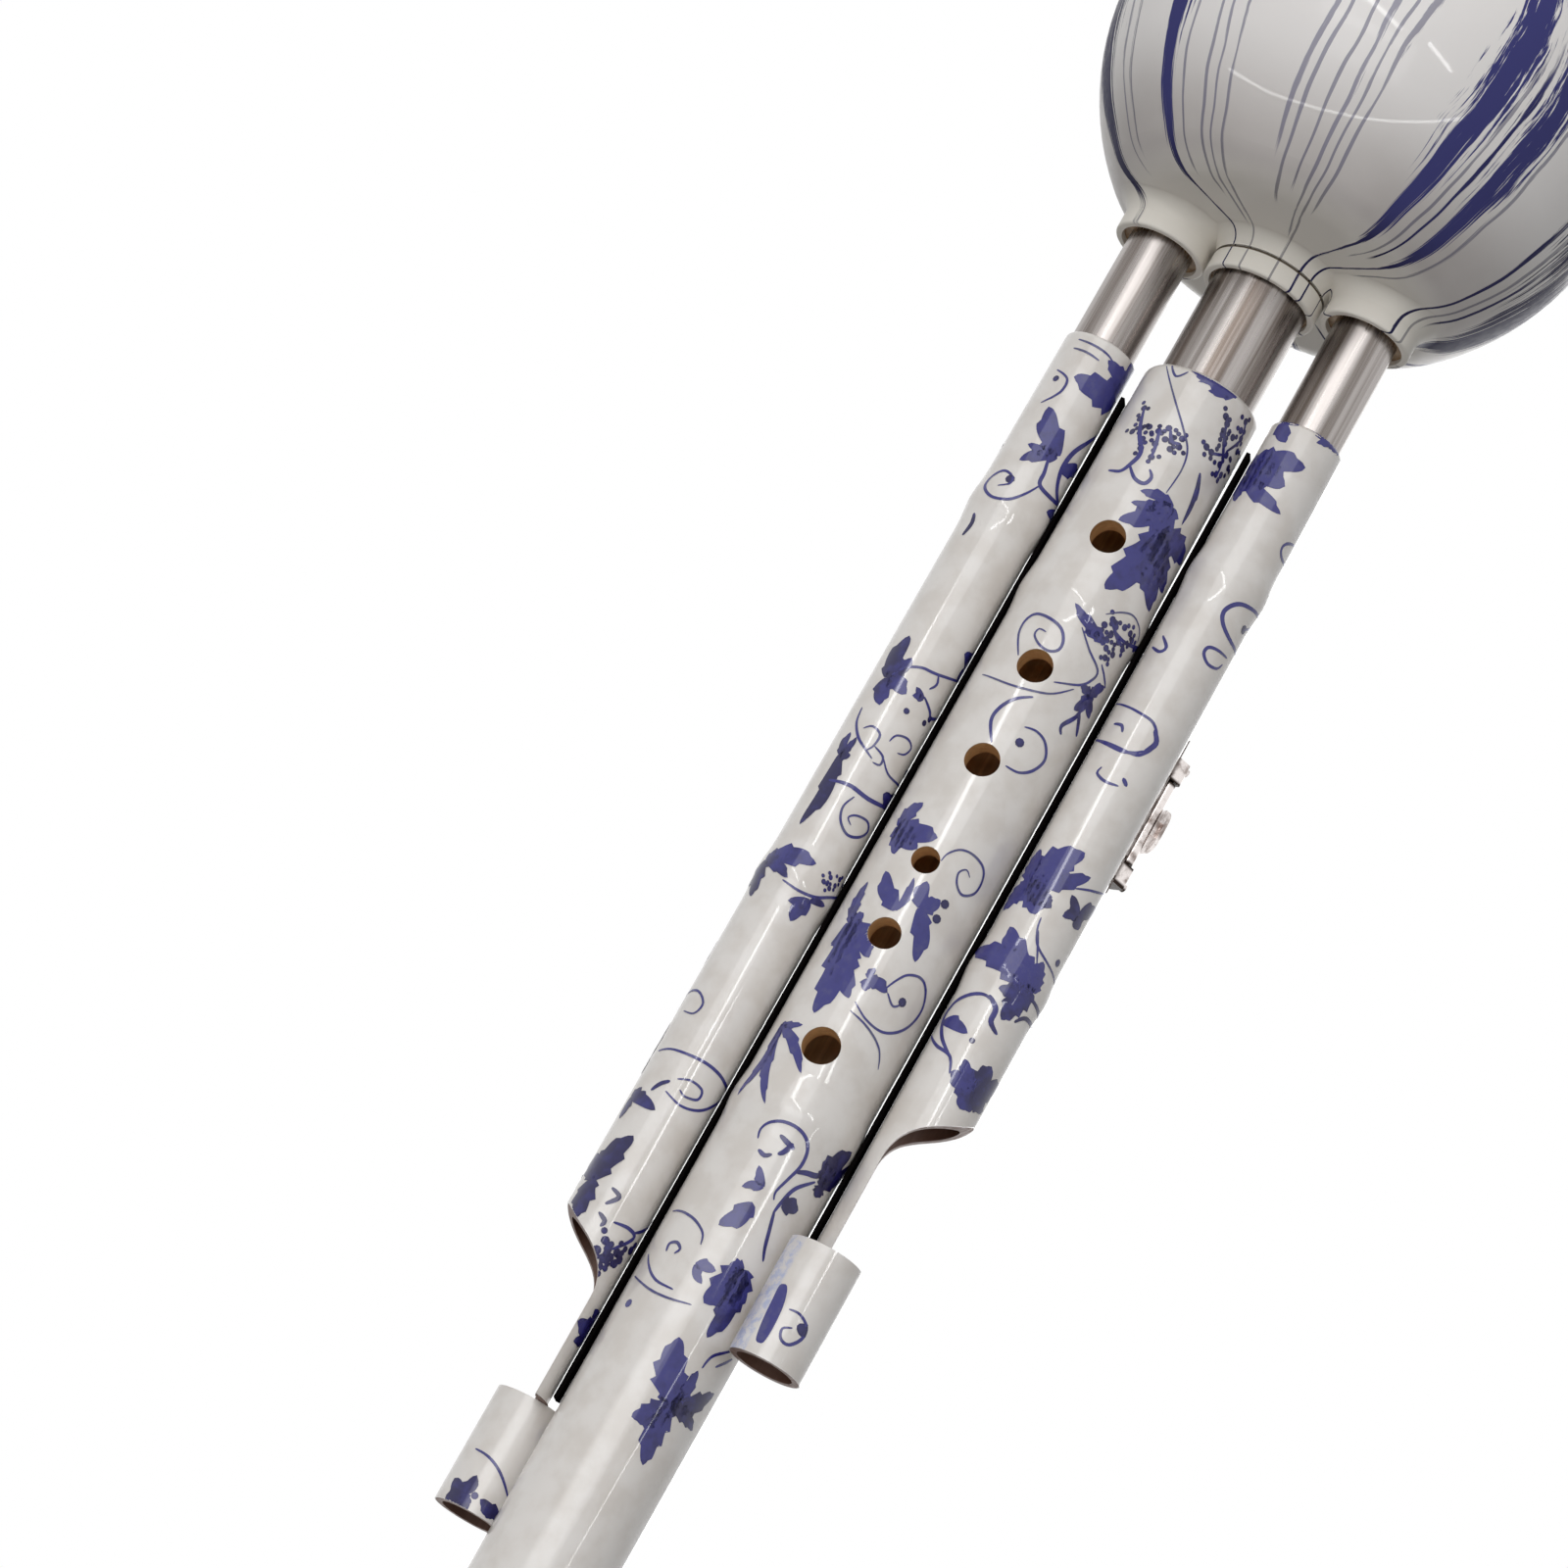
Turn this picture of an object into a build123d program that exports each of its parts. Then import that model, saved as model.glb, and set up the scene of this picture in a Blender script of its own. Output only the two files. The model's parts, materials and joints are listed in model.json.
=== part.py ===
"""A hulusi: a gourd wind chamber with a melody pipe between two drone pipes.

The origin is the centre of the melody pipe's foot, +Z runs up to the mouthpiece,
and the finger holes face -Y. All sizes are in millimetres.
"""

import os
from math import acos, atan2, cos, degrees, radians, sin, sqrt

from build123d import *

os.makedirs("parts", exist_ok=True)

# General fits and skins
glue_gap = 0.02
running_gap = 0.05
seat_gap = 0.05
film_thickness = 0.2
cut_margin = 1.0

# Metal stocks that carry the pipes
main_stock_radius = 9.5
main_stock_wall = 0.6
drone_stock_radius = 6.3
drone_stock_wall = 0.5
stock_show = 30.0
stock_stand = 11.0

# Melody pipe in the middle, with its nodes and holes measured down from its top
pipe_top = 265.0
main_socket_wall = 2.45
main_foot_taper = 0.4
main_top_taper = 0.3
main_node_drops = (158.4, 49.4)
main_bore_radius = 7.5
main_top_round = 1.8
main_socket_depth = 12.0
foot_bore_radius = 8.2
foot_bore_depth = 20.0
finger_hole_drops = (37.5, 65.9, 86.2, 107.6, 123.0, 146.4)
finger_hole_diameters = (6.6, 6.6, 6.5, 5.2, 6.0, 7.0)
thumb_hole_rise = 17.0
thumb_hole_diameter = 6.2

# Drone pipes at each side
pipe_gap = 1.85
drone_socket_wall = 1.0
drone_top_taper = 0.2
drone_bore_wall = 2.05
drone_top_round = 0.6
drone_socket_depth = 16.0
node_rise = 0.5
node_half_height = 6.5
right_node_drops = (118.4, 32.6)
left_node_drops = (119.1, 37.5)

# Felt strips between the melody pipe and the drones
strip_depth = 3.2
strip_top_drop = 7.0
strip_foot_rise = 1.4

# Cut-away, tongue and tail ring of each drone
right_cut_below = 143.0
left_cut_below = 188.0
cut_drop = 15.0
cut_turn = 12.0
tongue_bite = 0.75
right_ring_below = 178.4
left_ring_below = 222.2
ring_length = 22.4
ring_step = 0.45
ring_wall = 1.5
ring_shift = 0.65
ring_gap = 0.5
tab_depth = 12.0

# Gourd
lobe_radius = 51.2
base_margin = 5.4
base_round = 14.0
lobe_spacing = 76.0
upper_lobe_radius = 30.0
waist_round = 9.0
neck_radius = 10.5
neck_round = 8.0
neck_length = 12.0
gourd_wall = 3.0

# Collars and bushes under the gourd
main_collar_wall = 1.2
main_bush_wall = 0.7
main_collar_drop = 7.6
side_collar_wall = 1.3
side_bush_wall = 1.5
side_collar_drop = 6.4
collar_flare = 0.2
flare_height = 1.0
collar_edge_round = 0.5
spigot_wall = 0.8
spigot_stand = 2.0
groove_rise = 4.3
groove_width = 0.6
groove_depth = 0.5
bush_recess = 1.1
bush_stand = 7.0

# Reeds inside the gourd
plug_depth = 8.0
plug_flange = 2.0
reed_tube_length = 36.0
main_reed_bore = 3.8
main_reed_wall = 1.7
drone_reed_bore = 2.8
drone_reed_wall = 1.4
reed_flat_wall = 0.8
reed_cap = 2.0
plate_margin = 3.0
reed_plate_thickness = 0.9
main_reed_width = 3.0
main_reed_length = 22.0
drone_reed_width = 2.2
drone_reed_length = 18.0
reed_thickness = 0.25
reed_side_gap = 0.06

# Mouthpiece
ferrule_length = 6.0
ferrule_wall = 0.8
tenon_length = 12.0
cork_thickness = 1.5
cork_length = 9.0
cork_recess = 1.0
mouthpiece_length = 36.0
shoulder_ledge = 1.3
mouthpiece_waist = 5.2
mouthpiece_tip = 6.3
mouthpiece_bore = 2.8
shoulder_height = 3.0
shoulder_round = 1.0
tip_round = 2.2

# Key on the right drone
key_angle = 48.5
hinge_stand = 2.65
key_drop = 77.4
barrel_length = 17.4
barrel_radius = 1.3
rod_radius = 0.6
rod_seat = 2.2
post_length = 4.4
post_gap = 0.3
post_front = 1.5
post_back = 2.4
post_crown = 1.4
post_stem_radius = 0.9
post_stem_length = 1.5
post_round = 0.4
set_screw_radius = 0.45
set_screw_head = 0.8
set_screw_stand = 0.9
set_screw_inset = 0.5
key_plate_thickness = 0.5
key_plate_reach = 22.0
key_plate_margin = 3.0
pad_turn = 52.0
open_angle = 14.0
seat_radius = 3.0
tone_hole_radius = 2.1
seat_stand = 1.25
pad_radius = 3.1
pad_thickness = 1.2
cup_wall = 0.4
cup_roof = 0.7
cup_lip = 0.8
arm_width = 3.0
arm_root = 0.4
arm_bite = 0.2
arm_tip = 1.0
arm_lap = 0.6
touch_length = 9.0
touch_front = 1.6
touch_back = 7.4
touch_lift = 2.3
touch_thickness = 0.8
touch_corner = 2.4
touch_round = 0.3
touch_rib = 1.2
spring_radius = 0.2
spring_offset = 1.85
spring_reach = 6.6
hook_thickness = 1.0
hook_play = 0.6
hook_wall = 0.5

# Places that follow from the sizes
main_socket_radius = main_stock_radius + running_gap
main_body_radius = main_socket_radius + main_socket_wall
main_foot_radius = main_body_radius - main_foot_taper
main_top_radius = main_body_radius - main_top_taper
drone_socket_radius = drone_stock_radius + running_gap
drone_radius = drone_socket_radius + drone_socket_wall
drone_top_radius = drone_radius - drone_top_taper
drone_bore_radius = drone_radius - drone_bore_wall
drone_pitch = main_body_radius + drone_radius + pipe_gap
right_x = drone_pitch
left_x = -drone_pitch
main_socket_floor = pipe_top - main_socket_depth
drone_socket_floor = pipe_top - drone_socket_depth
main_node_heights = [pipe_top - drop for drop in main_node_drops]
right_node_heights = [pipe_top - drop for drop in right_node_drops]
left_node_heights = [pipe_top - drop for drop in left_node_drops]
finger_hole_heights = [pipe_top - drop for drop in finger_hole_drops]
thumb_hole_height = finger_hole_heights[0] + thumb_hole_rise
right_cut_top = pipe_top - right_cut_below
left_cut_top = pipe_top - left_cut_below
tongue_face = drone_bore_radius - tongue_bite
right_facing = cut_turn
left_facing = 180.0 + cut_turn
right_ring_top = pipe_top - right_ring_below
left_ring_top = pipe_top - left_ring_below
ring_radius = drone_radius - ring_step
ring_bore_radius = ring_radius - ring_wall
ring_offset = drone_radius + ring_shift
main_collar_bore = main_stock_radius + main_bush_wall
main_collar_radius = main_collar_bore + main_collar_wall
side_collar_bore = drone_stock_radius + side_bush_wall
side_collar_radius = side_collar_bore + side_collar_wall
base_height = pipe_top + stock_show
base_flat = drone_pitch + base_margin
lobe_height = base_height + base_round + sqrt((lobe_radius - base_round)**2 - base_flat**2)
upper_lobe_height = lobe_height + lobe_spacing
stock_top = base_height + stock_stand
reed_base = stock_top + plug_flange
main_reed_radius = main_reed_bore + main_reed_wall
drone_reed_radius = drone_reed_bore + drone_reed_wall
neck_bore = neck_radius - gourd_wall
tenon_radius = neck_bore - cork_thickness
mouthpiece_shoulder = neck_bore + shoulder_ledge
key_radius = drone_radius + hinge_stand
key_height = pipe_top - key_drop
seat_height = drone_radius + seat_stand


def direction(angle):
    """Return the level unit vector at an angle from +X towards +Y."""
    return Vector(cos(radians(angle)), sin(radians(angle)), 0)


def upright_plane(axis_x, angle=0.0):
    """Return the plane through a pipe's axis whose x runs out at the angle and y runs up."""
    return Plane(origin=(axis_x, 0, 0), x_dir=direction(angle), z_dir=direction(angle - 90))


def pipe_axis(axis_x):
    """Return the upright axis of a pipe or ring that stands at axis_x."""
    return Axis((axis_x, 0, 0), (0, 0, 1))


def save(builder, name):
    """Label a finished piece and write it to its own file."""
    builder.part.label = name
    export_step(builder.part, f"parts/{name}.step")


# Outlines of the pipes

def pipe_side(foot, radii, nodes, top_round, inset):
    """Draw a pipe's outer line from its foot to its rounded top edge, with a swelling at each node."""
    foot_radius, body_radius, top_radius = radii
    last = (foot_radius - inset, foot)
    for height in nodes:
        below = (body_radius - inset, height - node_half_height)
        crest = (body_radius + node_rise - inset, height)
        above = (body_radius - inset, height + node_half_height)
        Line(last, below)
        Spline(below, crest, above, tangents=((0, 1), (0, 1)))
        last = above
    Line(last, (top_radius - inset, pipe_top - top_round))
    CenterArc((top_radius - top_round, pipe_top - top_round), top_round - inset, 0, 90)


def revolve_film(axis_x, foot, radii, nodes, top_round):
    """Revolve the film sleeve that hugs a pipe and turns in over its top edge."""
    foot_radius, _, top_radius = radii
    inset = film_thickness - glue_gap
    with BuildSketch(upright_plane(axis_x)) as profile:
        with BuildLine():
            pipe_side(foot, radii, nodes, top_round, 0)
            pipe_side(foot, radii, nodes, top_round, inset)
            Line((foot_radius, foot), (foot_radius - inset, foot))
            Line((top_radius - top_round, pipe_top), (top_radius - top_round, pipe_top - inset))
        make_face()
    revolve(profile.sketch, axis=pipe_axis(axis_x))


def cut_radial_hole(axis_x, angle, height, radius, reach):
    """Cut a round hole through a pipe's wall at an angle about its axis."""
    with BuildSketch(Plane(origin=(axis_x, 0, height), z_dir=direction(angle))) as hole:
        Circle(radius)
    extrude(hole.sketch, amount=reach, mode=Mode.SUBTRACT)


# Melody pipe

main_radii = (main_foot_radius, main_body_radius, main_top_radius)


def cut_finger_holes():
    """Cut the six holes in front and the thumb hole behind."""
    reach = main_body_radius + 2 * node_rise
    for height, diameter in zip(finger_hole_heights, finger_hole_diameters):
        cut_radial_hole(0, -90, height, diameter / 2, reach)
    cut_radial_hole(0, 90, thumb_hole_height, thumb_hole_diameter / 2, reach)


with BuildPart() as main_pipe:
    with BuildSketch(upright_plane(0)):
        with BuildLine():
            pipe_side(0, main_radii, main_node_heights, main_top_round, film_thickness)
            Polyline(
                (main_top_radius - main_top_round, pipe_top - film_thickness),
                (main_socket_radius, pipe_top - film_thickness),
                (main_socket_radius, main_socket_floor),
                (main_bore_radius, main_socket_floor),
                (main_bore_radius, foot_bore_depth),
                (foot_bore_radius, foot_bore_depth),
                (foot_bore_radius, 0),
                (main_foot_radius - film_thickness, 0),
            )
        make_face()
    revolve(axis=Axis.Z)
    cut_finger_holes()
save(main_pipe, "main_pipe")

with BuildPart() as main_pipe_film:
    revolve_film(0, 0, main_radii, main_node_heights, main_top_round)
    cut_finger_holes()
save(main_pipe_film, "main_pipe_film")


# Felt strips, which fill the gaps between the pipes and clear every node

def make_strip(name, turn, ring_top):
    """Make the felt strip beside the melody pipe, towards +X for a turn of 1 and -X for -1."""
    near = main_body_radius + node_rise + seat_gap
    far = drone_pitch - drone_radius - node_rise - seat_gap
    foot = ring_top + strip_foot_rise
    with BuildPart() as strip:
        with BuildSketch(Plane.XY.offset(foot)):
            with Locations((turn * (near + far) / 2, 0)):
                Rectangle(far - near, strip_depth)
        extrude(amount=pipe_top - strip_top_drop - foot)
    save(strip, name)


make_strip("left_strip", -1, left_ring_top)
make_strip("right_strip", 1, right_ring_top)


# Key places, worked out from the right drone's axis

hinge_point = Vector(right_x, 0, 0) + key_radius * direction(key_angle)
pad_angle = key_angle + pad_turn
pad_reach = key_radius * sin(radians(pad_turn))
pad_level = seat_height + seat_gap - key_radius * cos(radians(pad_turn))
post_centre_rise = barrel_length / 2 + post_gap + post_length / 2
post_heights = (key_height - post_centre_rise, key_height + post_centre_rise)


# Drone pipes

def ring_centre(axis_x):
    """Return the tail ring's centre, set beside its drone so that it clears the melody pipe."""
    clear = main_body_radius + ring_radius + ring_gap
    cosine = (drone_pitch**2 + ring_offset**2 - clear**2) / (2 * drone_pitch * ring_offset)
    towards_main = 180.0 if axis_x > 0 else 0.0
    offset = ring_offset * direction(towards_main + degrees(acos(cosine)))
    return Vector(axis_x, 0, 0) + offset


def cut_away(axis_x, facing, cut_top, bottom):
    """Cut off the outward half of a drone's foot along an S-shaped edge and leave the tongue."""
    reach = drone_radius + 2 * node_rise
    with BuildSketch(upright_plane(axis_x, facing)) as waste:
        with BuildLine():
            start = (reach, cut_top + node_rise)
            end = (-tongue_face, cut_top - cut_drop)
            Spline(start, end, tangents=((-0.45, -1), (0, -1)))
            Polyline(end, (-tongue_face, bottom), (reach, bottom), start)
        make_face()
    extrude(waste.sketch, amount=reach, both=True, mode=Mode.SUBTRACT)


def trim_tab(axis_x, ring_top):
    """Narrow the tongue's tip to a tab that fills the tail ring's bore from edge to edge."""
    tab_top = ring_top + seat_gap
    tab_foot = ring_top - tab_depth
    centre = ring_centre(axis_x)
    outside = 2 * drone_radius
    with BuildSketch(Plane.XY.offset(tab_foot)) as waste:
        with Locations((axis_x, 0)):
            Rectangle(2 * outside, 2 * outside)
        with Locations((centre.X, centre.Y)):
            Circle(ring_bore_radius - running_gap, mode=Mode.SUBTRACT)
    extrude(waste.sketch, amount=tab_top - tab_foot, mode=Mode.SUBTRACT)


def cut_key_holes():
    """Cut the tone hole under the pad and the holes for the posts' stems."""
    reach = drone_radius + 2 * node_rise
    cut_radial_hole(right_x, pad_angle, key_height, tone_hole_radius, reach)
    for height in post_heights:
        cut_radial_hole(right_x, key_angle, height, post_stem_radius + glue_gap, reach)


drone_radii = (drone_radius, drone_radius, drone_top_radius)


def revolve_drone(axis_x, foot, nodes):
    """Revolve a drone's bamboo tube with its bore and its socket for the stock."""
    outer = drone_radius - film_thickness
    with BuildSketch(upright_plane(axis_x)) as profile:
        with BuildLine():
            pipe_side(foot, drone_radii, nodes, drone_top_round, film_thickness)
            Polyline(
                (drone_top_radius - drone_top_round, pipe_top - film_thickness),
                (drone_bore_radius, pipe_top - film_thickness),
                (drone_bore_radius, foot),
                (outer, foot),
            )
        make_face()
    revolve(profile.sketch, axis=pipe_axis(axis_x))
    with BuildSketch(Plane.XY.offset(drone_socket_floor)) as socket:
        with Locations((axis_x, 0)):
            Circle(drone_socket_radius)
    extrude(socket.sketch, amount=drone_socket_depth, mode=Mode.SUBTRACT)


with BuildPart() as right_drone:
    revolve_drone(right_x, right_ring_top - tab_depth, right_node_heights)
    cut_away(right_x, right_facing, right_cut_top, right_ring_top - tab_depth)
    trim_tab(right_x, right_ring_top)
    cut_key_holes()
save(right_drone, "right_drone")

with BuildPart() as left_drone:
    revolve_drone(left_x, left_ring_top - tab_depth, left_node_heights)
    cut_away(left_x, left_facing, left_cut_top, left_ring_top - tab_depth)
    trim_tab(left_x, left_ring_top)
save(left_drone, "left_drone")

with BuildPart() as right_drone_film:
    film_foot = right_ring_top + seat_gap
    revolve_film(right_x, film_foot, drone_radii, right_node_heights, drone_top_round)
    cut_away(right_x, right_facing, right_cut_top, film_foot)
    cut_key_holes()
save(right_drone_film, "right_drone_film")

with BuildPart() as left_drone_film:
    film_foot = left_ring_top + seat_gap
    revolve_film(left_x, film_foot, drone_radii, left_node_heights, drone_top_round)
    cut_away(left_x, left_facing, left_cut_top, film_foot)
save(left_drone_film, "left_drone_film")


# Tail rings

def make_ring(name, axis_x, ring_top, inner_radius, outer_radius):
    """Make a short tube at a drone's tail, used for the ring and for its film."""
    centre = ring_centre(axis_x)
    with BuildPart() as ring:
        with BuildSketch(Plane.XY.offset(ring_top - ring_length)):
            with Locations((centre.X, centre.Y)):
                Circle(outer_radius)
                Circle(inner_radius, mode=Mode.SUBTRACT)
        extrude(amount=ring_length)
    save(ring, name)


ring_wood_radius = ring_radius - film_thickness
for side, axis_x, ring_top in (("left", left_x, left_ring_top), ("right", right_x, right_ring_top)):
    make_ring(f"{side}_tail_ring", axis_x, ring_top, ring_bore_radius, ring_wood_radius)
    make_ring(f"{side}_ring_film", axis_x, ring_top, ring_wood_radius + glue_gap, ring_radius)


# Gourd

def blend_centre(distance_low, distance_high, span):
    """Return how far out and up a circle's centre lies from the lower of two points span apart."""
    rise = (distance_low**2 - distance_high**2 + span**2) / (2 * span)
    return sqrt(distance_low**2 - rise**2), rise


base_z = base_height + base_round
waist_x, waist_rise = blend_centre(
    lobe_radius + waist_round, upper_lobe_radius + waist_round, upper_lobe_height - lobe_height
)
neck_x = neck_radius + neck_round
neck_rise = sqrt((upper_lobe_radius + neck_round)**2 - neck_x**2)
neck_z = upper_lobe_height + neck_rise
gourd_top = neck_z + neck_length

base_angle = degrees(atan2(base_z - lobe_height, base_flat))
waist_low_angle = degrees(atan2(waist_rise, waist_x))
waist_high_angle = degrees(atan2(lobe_height + waist_rise - upper_lobe_height, waist_x))
neck_angle = degrees(atan2(neck_rise, neck_x))


def gourd_side(inset):
    """Draw the gourd's line from the middle of its flat base over both lobes to the neck's rim."""
    floor = base_height + inset
    neck = neck_radius - inset
    Line((0, floor), (base_flat, floor))
    CenterArc((base_flat, base_z), base_round - inset, -90, base_angle + 90)
    CenterArc((0, lobe_height), lobe_radius - inset, base_angle, waist_low_angle - base_angle)
    waist_sweep = waist_high_angle - waist_low_angle
    waist_centre = (waist_x, lobe_height + waist_rise)
    CenterArc(waist_centre, waist_round + inset, waist_low_angle + 180, waist_sweep)
    upper_sweep = neck_angle - waist_high_angle
    CenterArc((0, upper_lobe_height), upper_lobe_radius - inset, waist_high_angle, upper_sweep)
    CenterArc((neck_x, neck_z), neck_round + inset, neck_angle + 180, -neck_angle)
    Line((neck, neck_z), (neck, gourd_top))


main_spigot = main_collar_bore + spigot_wall
side_spigot = side_collar_bore + spigot_wall

with BuildPart() as gourd_shell:
    with BuildSketch(Plane.XZ):
        with BuildLine():
            gourd_side(0)
            gourd_side(gourd_wall)
            Line((0, base_height), (0, base_height + gourd_wall))
            Line((neck_radius, gourd_top), (neck_radius - gourd_wall, gourd_top))
        make_face()
    revolve(axis=Axis.Z)
    with BuildSketch(Plane.XY.offset(base_height)):
        Circle(main_spigot + seat_gap)
        with Locations((left_x, 0), (right_x, 0)):
            Circle(side_spigot + seat_gap)
    extrude(amount=gourd_wall + cut_margin, mode=Mode.SUBTRACT)
save(gourd_shell, "gourd_shell")


# Collars: each has a body under the gourd and a thin spigot through its wall

def make_collar(name, axis_x, radius, bore, drop, grooved):
    """Make one collar, with an optional groove that sets off its lip."""
    rim = base_height - drop
    spigot_top = base_height + gourd_wall + spigot_stand
    with BuildPart() as collar:
        with BuildSketch(upright_plane(axis_x)):
            with BuildLine():
                Polyline(
                    (bore, rim),
                    (radius, rim),
                    (radius, base_height - flare_height),
                    (radius + collar_flare, base_height),
                    (bore + spigot_wall, base_height),
                    (bore + spigot_wall, spigot_top),
                    (bore, spigot_top),
                    (bore, rim),
                )
            make_face()
        revolve(axis=pipe_axis(axis_x))
        rim_edges = collar.edges().group_by(Axis.Z)[0].sort_by(SortBy.RADIUS)
        fillet(rim_edges[-1], radius=collar_edge_round)
        if grooved:
            with BuildSketch(Plane.XY.offset(rim + groove_rise)):
                with Locations((axis_x, 0)):
                    Circle(radius + cut_margin)
                    Circle(radius - groove_depth, mode=Mode.SUBTRACT)
            extrude(amount=groove_width, mode=Mode.SUBTRACT)
    save(collar, name)


make_collar("main_collar", 0, main_collar_radius, main_collar_bore, main_collar_drop, True)
make_collar("left_collar", left_x, side_collar_radius, side_collar_bore, side_collar_drop, False)
make_collar("right_collar", right_x, side_collar_radius, side_collar_bore, side_collar_drop, False)


# Bushes between the collars and the stocks, and the stocks themselves

def make_tube(name, axis_x, inner, outer, foot, top):
    """Make a plain upright tube on a pipe's axis."""
    with BuildPart() as tube:
        with BuildSketch(Plane.XY.offset(foot)):
            with Locations((axis_x, 0)):
                Circle(outer)
                Circle(inner, mode=Mode.SUBTRACT)
        extrude(amount=top - foot)
    save(tube, name)


bush_top = base_height + bush_stand
main_bush_foot = base_height - main_collar_drop + bush_recess
side_bush_foot = base_height - side_collar_drop + bush_recess
main_bush_bore = main_stock_radius + glue_gap
side_bush_bore = drone_stock_radius + glue_gap
main_bush_outer = main_collar_bore - glue_gap
side_bush_outer = side_collar_bore - glue_gap
make_tube("main_bush", 0, main_bush_bore, main_bush_outer, main_bush_foot, bush_top)
main_stock_bore = main_stock_radius - main_stock_wall
drone_stock_bore = drone_stock_radius - drone_stock_wall
main_stock_foot = main_socket_floor + seat_gap
drone_stock_foot = drone_socket_floor + seat_gap
make_tube("main_stock", 0, main_stock_bore, main_stock_radius, main_stock_foot, stock_top)
for side, axis_x in (("left", left_x), ("right", right_x)):
    make_tube(f"{side}_bush", axis_x, side_bush_bore, side_bush_outer, side_bush_foot, bush_top)
    make_tube(
        f"{side}_stock", axis_x, drone_stock_bore, drone_stock_radius, drone_stock_foot, stock_top
    )


# Reeds: a turned holder plugged into each stock, a plate on its flat and a free tongue

def reed_plane(axis_x, depth, height):
    """Return the upright plane that faces -Y in front of a reed holder's axis."""
    return Plane(origin=(axis_x, depth, height), x_dir=(1, 0, 0), z_dir=(0, -1, 0))


def make_reed(side, axis_x, stock_radius, stock_bore, tube_radius, tube_bore, width, length):
    """Make the reed holder, the reed plate and the free tongue of one pipe."""
    holder_top = reed_base + reed_tube_length
    flat = tube_bore + reed_flat_wall
    slot_middle = reed_base + reed_tube_length / 2
    plate_height = length + 2 * plate_margin
    plate_half_width = sqrt(tube_radius**2 - flat**2)
    with BuildPart() as holder:
        with BuildSketch(upright_plane(axis_x)):
            Polygon(
                (tube_bore, stock_top - plug_depth),
                (stock_bore - glue_gap, stock_top - plug_depth),
                (stock_bore - glue_gap, stock_top + seat_gap),
                (stock_radius, stock_top + seat_gap),
                (stock_radius, reed_base),
                (tube_radius, reed_base),
                (tube_radius, holder_top),
                (0, holder_top),
                (0, holder_top - reed_cap),
                (tube_bore, holder_top - reed_cap),
                align=None,
            )
        revolve(axis=pipe_axis(axis_x))
        with BuildSketch(reed_plane(axis_x, -flat, slot_middle)):
            Rectangle(2 * tube_radius, plate_height)
        extrude(amount=tube_radius, mode=Mode.SUBTRACT)
        with BuildSketch(reed_plane(axis_x, 0, slot_middle)):
            Rectangle(width + reed_side_gap, length)
        extrude(amount=tube_radius, mode=Mode.SUBTRACT)
    save(holder, f"{side}_reed_holder")

    plate_face = -flat - glue_gap
    with BuildPart() as plate:
        with BuildSketch(reed_plane(axis_x, plate_face, slot_middle)):
            Rectangle(2 * plate_half_width, plate_height - 2 * glue_gap)
            Rectangle(width, length, mode=Mode.SUBTRACT)
        extrude(amount=reed_plate_thickness)
    save(plate, f"{side}_reed_plate")

    tongue_face_y = plate_face - reed_plate_thickness + reed_thickness
    with BuildPart() as tongue:
        with BuildSketch(reed_plane(axis_x, tongue_face_y, slot_middle)):
            Rectangle(width - 2 * reed_side_gap, length - 2 * running_gap)
        extrude(amount=reed_thickness)
    save(tongue, f"{side}_reed_tongue")


make_reed(
    "main", 0, main_stock_radius, main_stock_bore,
    main_reed_radius, main_reed_bore, main_reed_width, main_reed_length,
)
for side, axis_x in (("left", left_x), ("right", right_x)):
    make_reed(
        side, axis_x, drone_stock_radius, drone_stock_bore,
        drone_reed_radius, drone_reed_bore, drone_reed_width, drone_reed_length,
    )


# Mouthpiece with its ferrule and cork

ferrule_top = gourd_top + ferrule_wall
mouthpiece_seat = ferrule_top + seat_gap
mouthpiece_top = mouthpiece_seat + mouthpiece_length

with BuildPart() as ferrule:
    with BuildSketch(Plane.XZ):
        Polygon(
            (neck_radius + glue_gap, ferrule_top - ferrule_length),
            (neck_radius + ferrule_wall, ferrule_top - ferrule_length),
            (neck_radius + ferrule_wall, ferrule_top),
            (neck_bore, ferrule_top),
            (neck_bore, gourd_top + glue_gap),
            (neck_radius + glue_gap, gourd_top + glue_gap),
            align=None,
        )
    revolve(axis=Axis.Z)
    fillet(ferrule.edges().group_by(Axis.Z)[-1].sort_by(SortBy.RADIUS)[-1], radius=ferrule_wall / 2)
save(ferrule, "mouthpiece_ferrule")

with BuildPart() as mouthpiece_cork:
    cork_top = gourd_top - cork_recess
    with BuildSketch(Plane.XY.offset(cork_top - cork_length)):
        Circle(neck_bore - running_gap)
        Circle(tenon_radius + glue_gap, mode=Mode.SUBTRACT)
    extrude(amount=cork_length)
save(mouthpiece_cork, "mouthpiece_cork")

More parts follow.
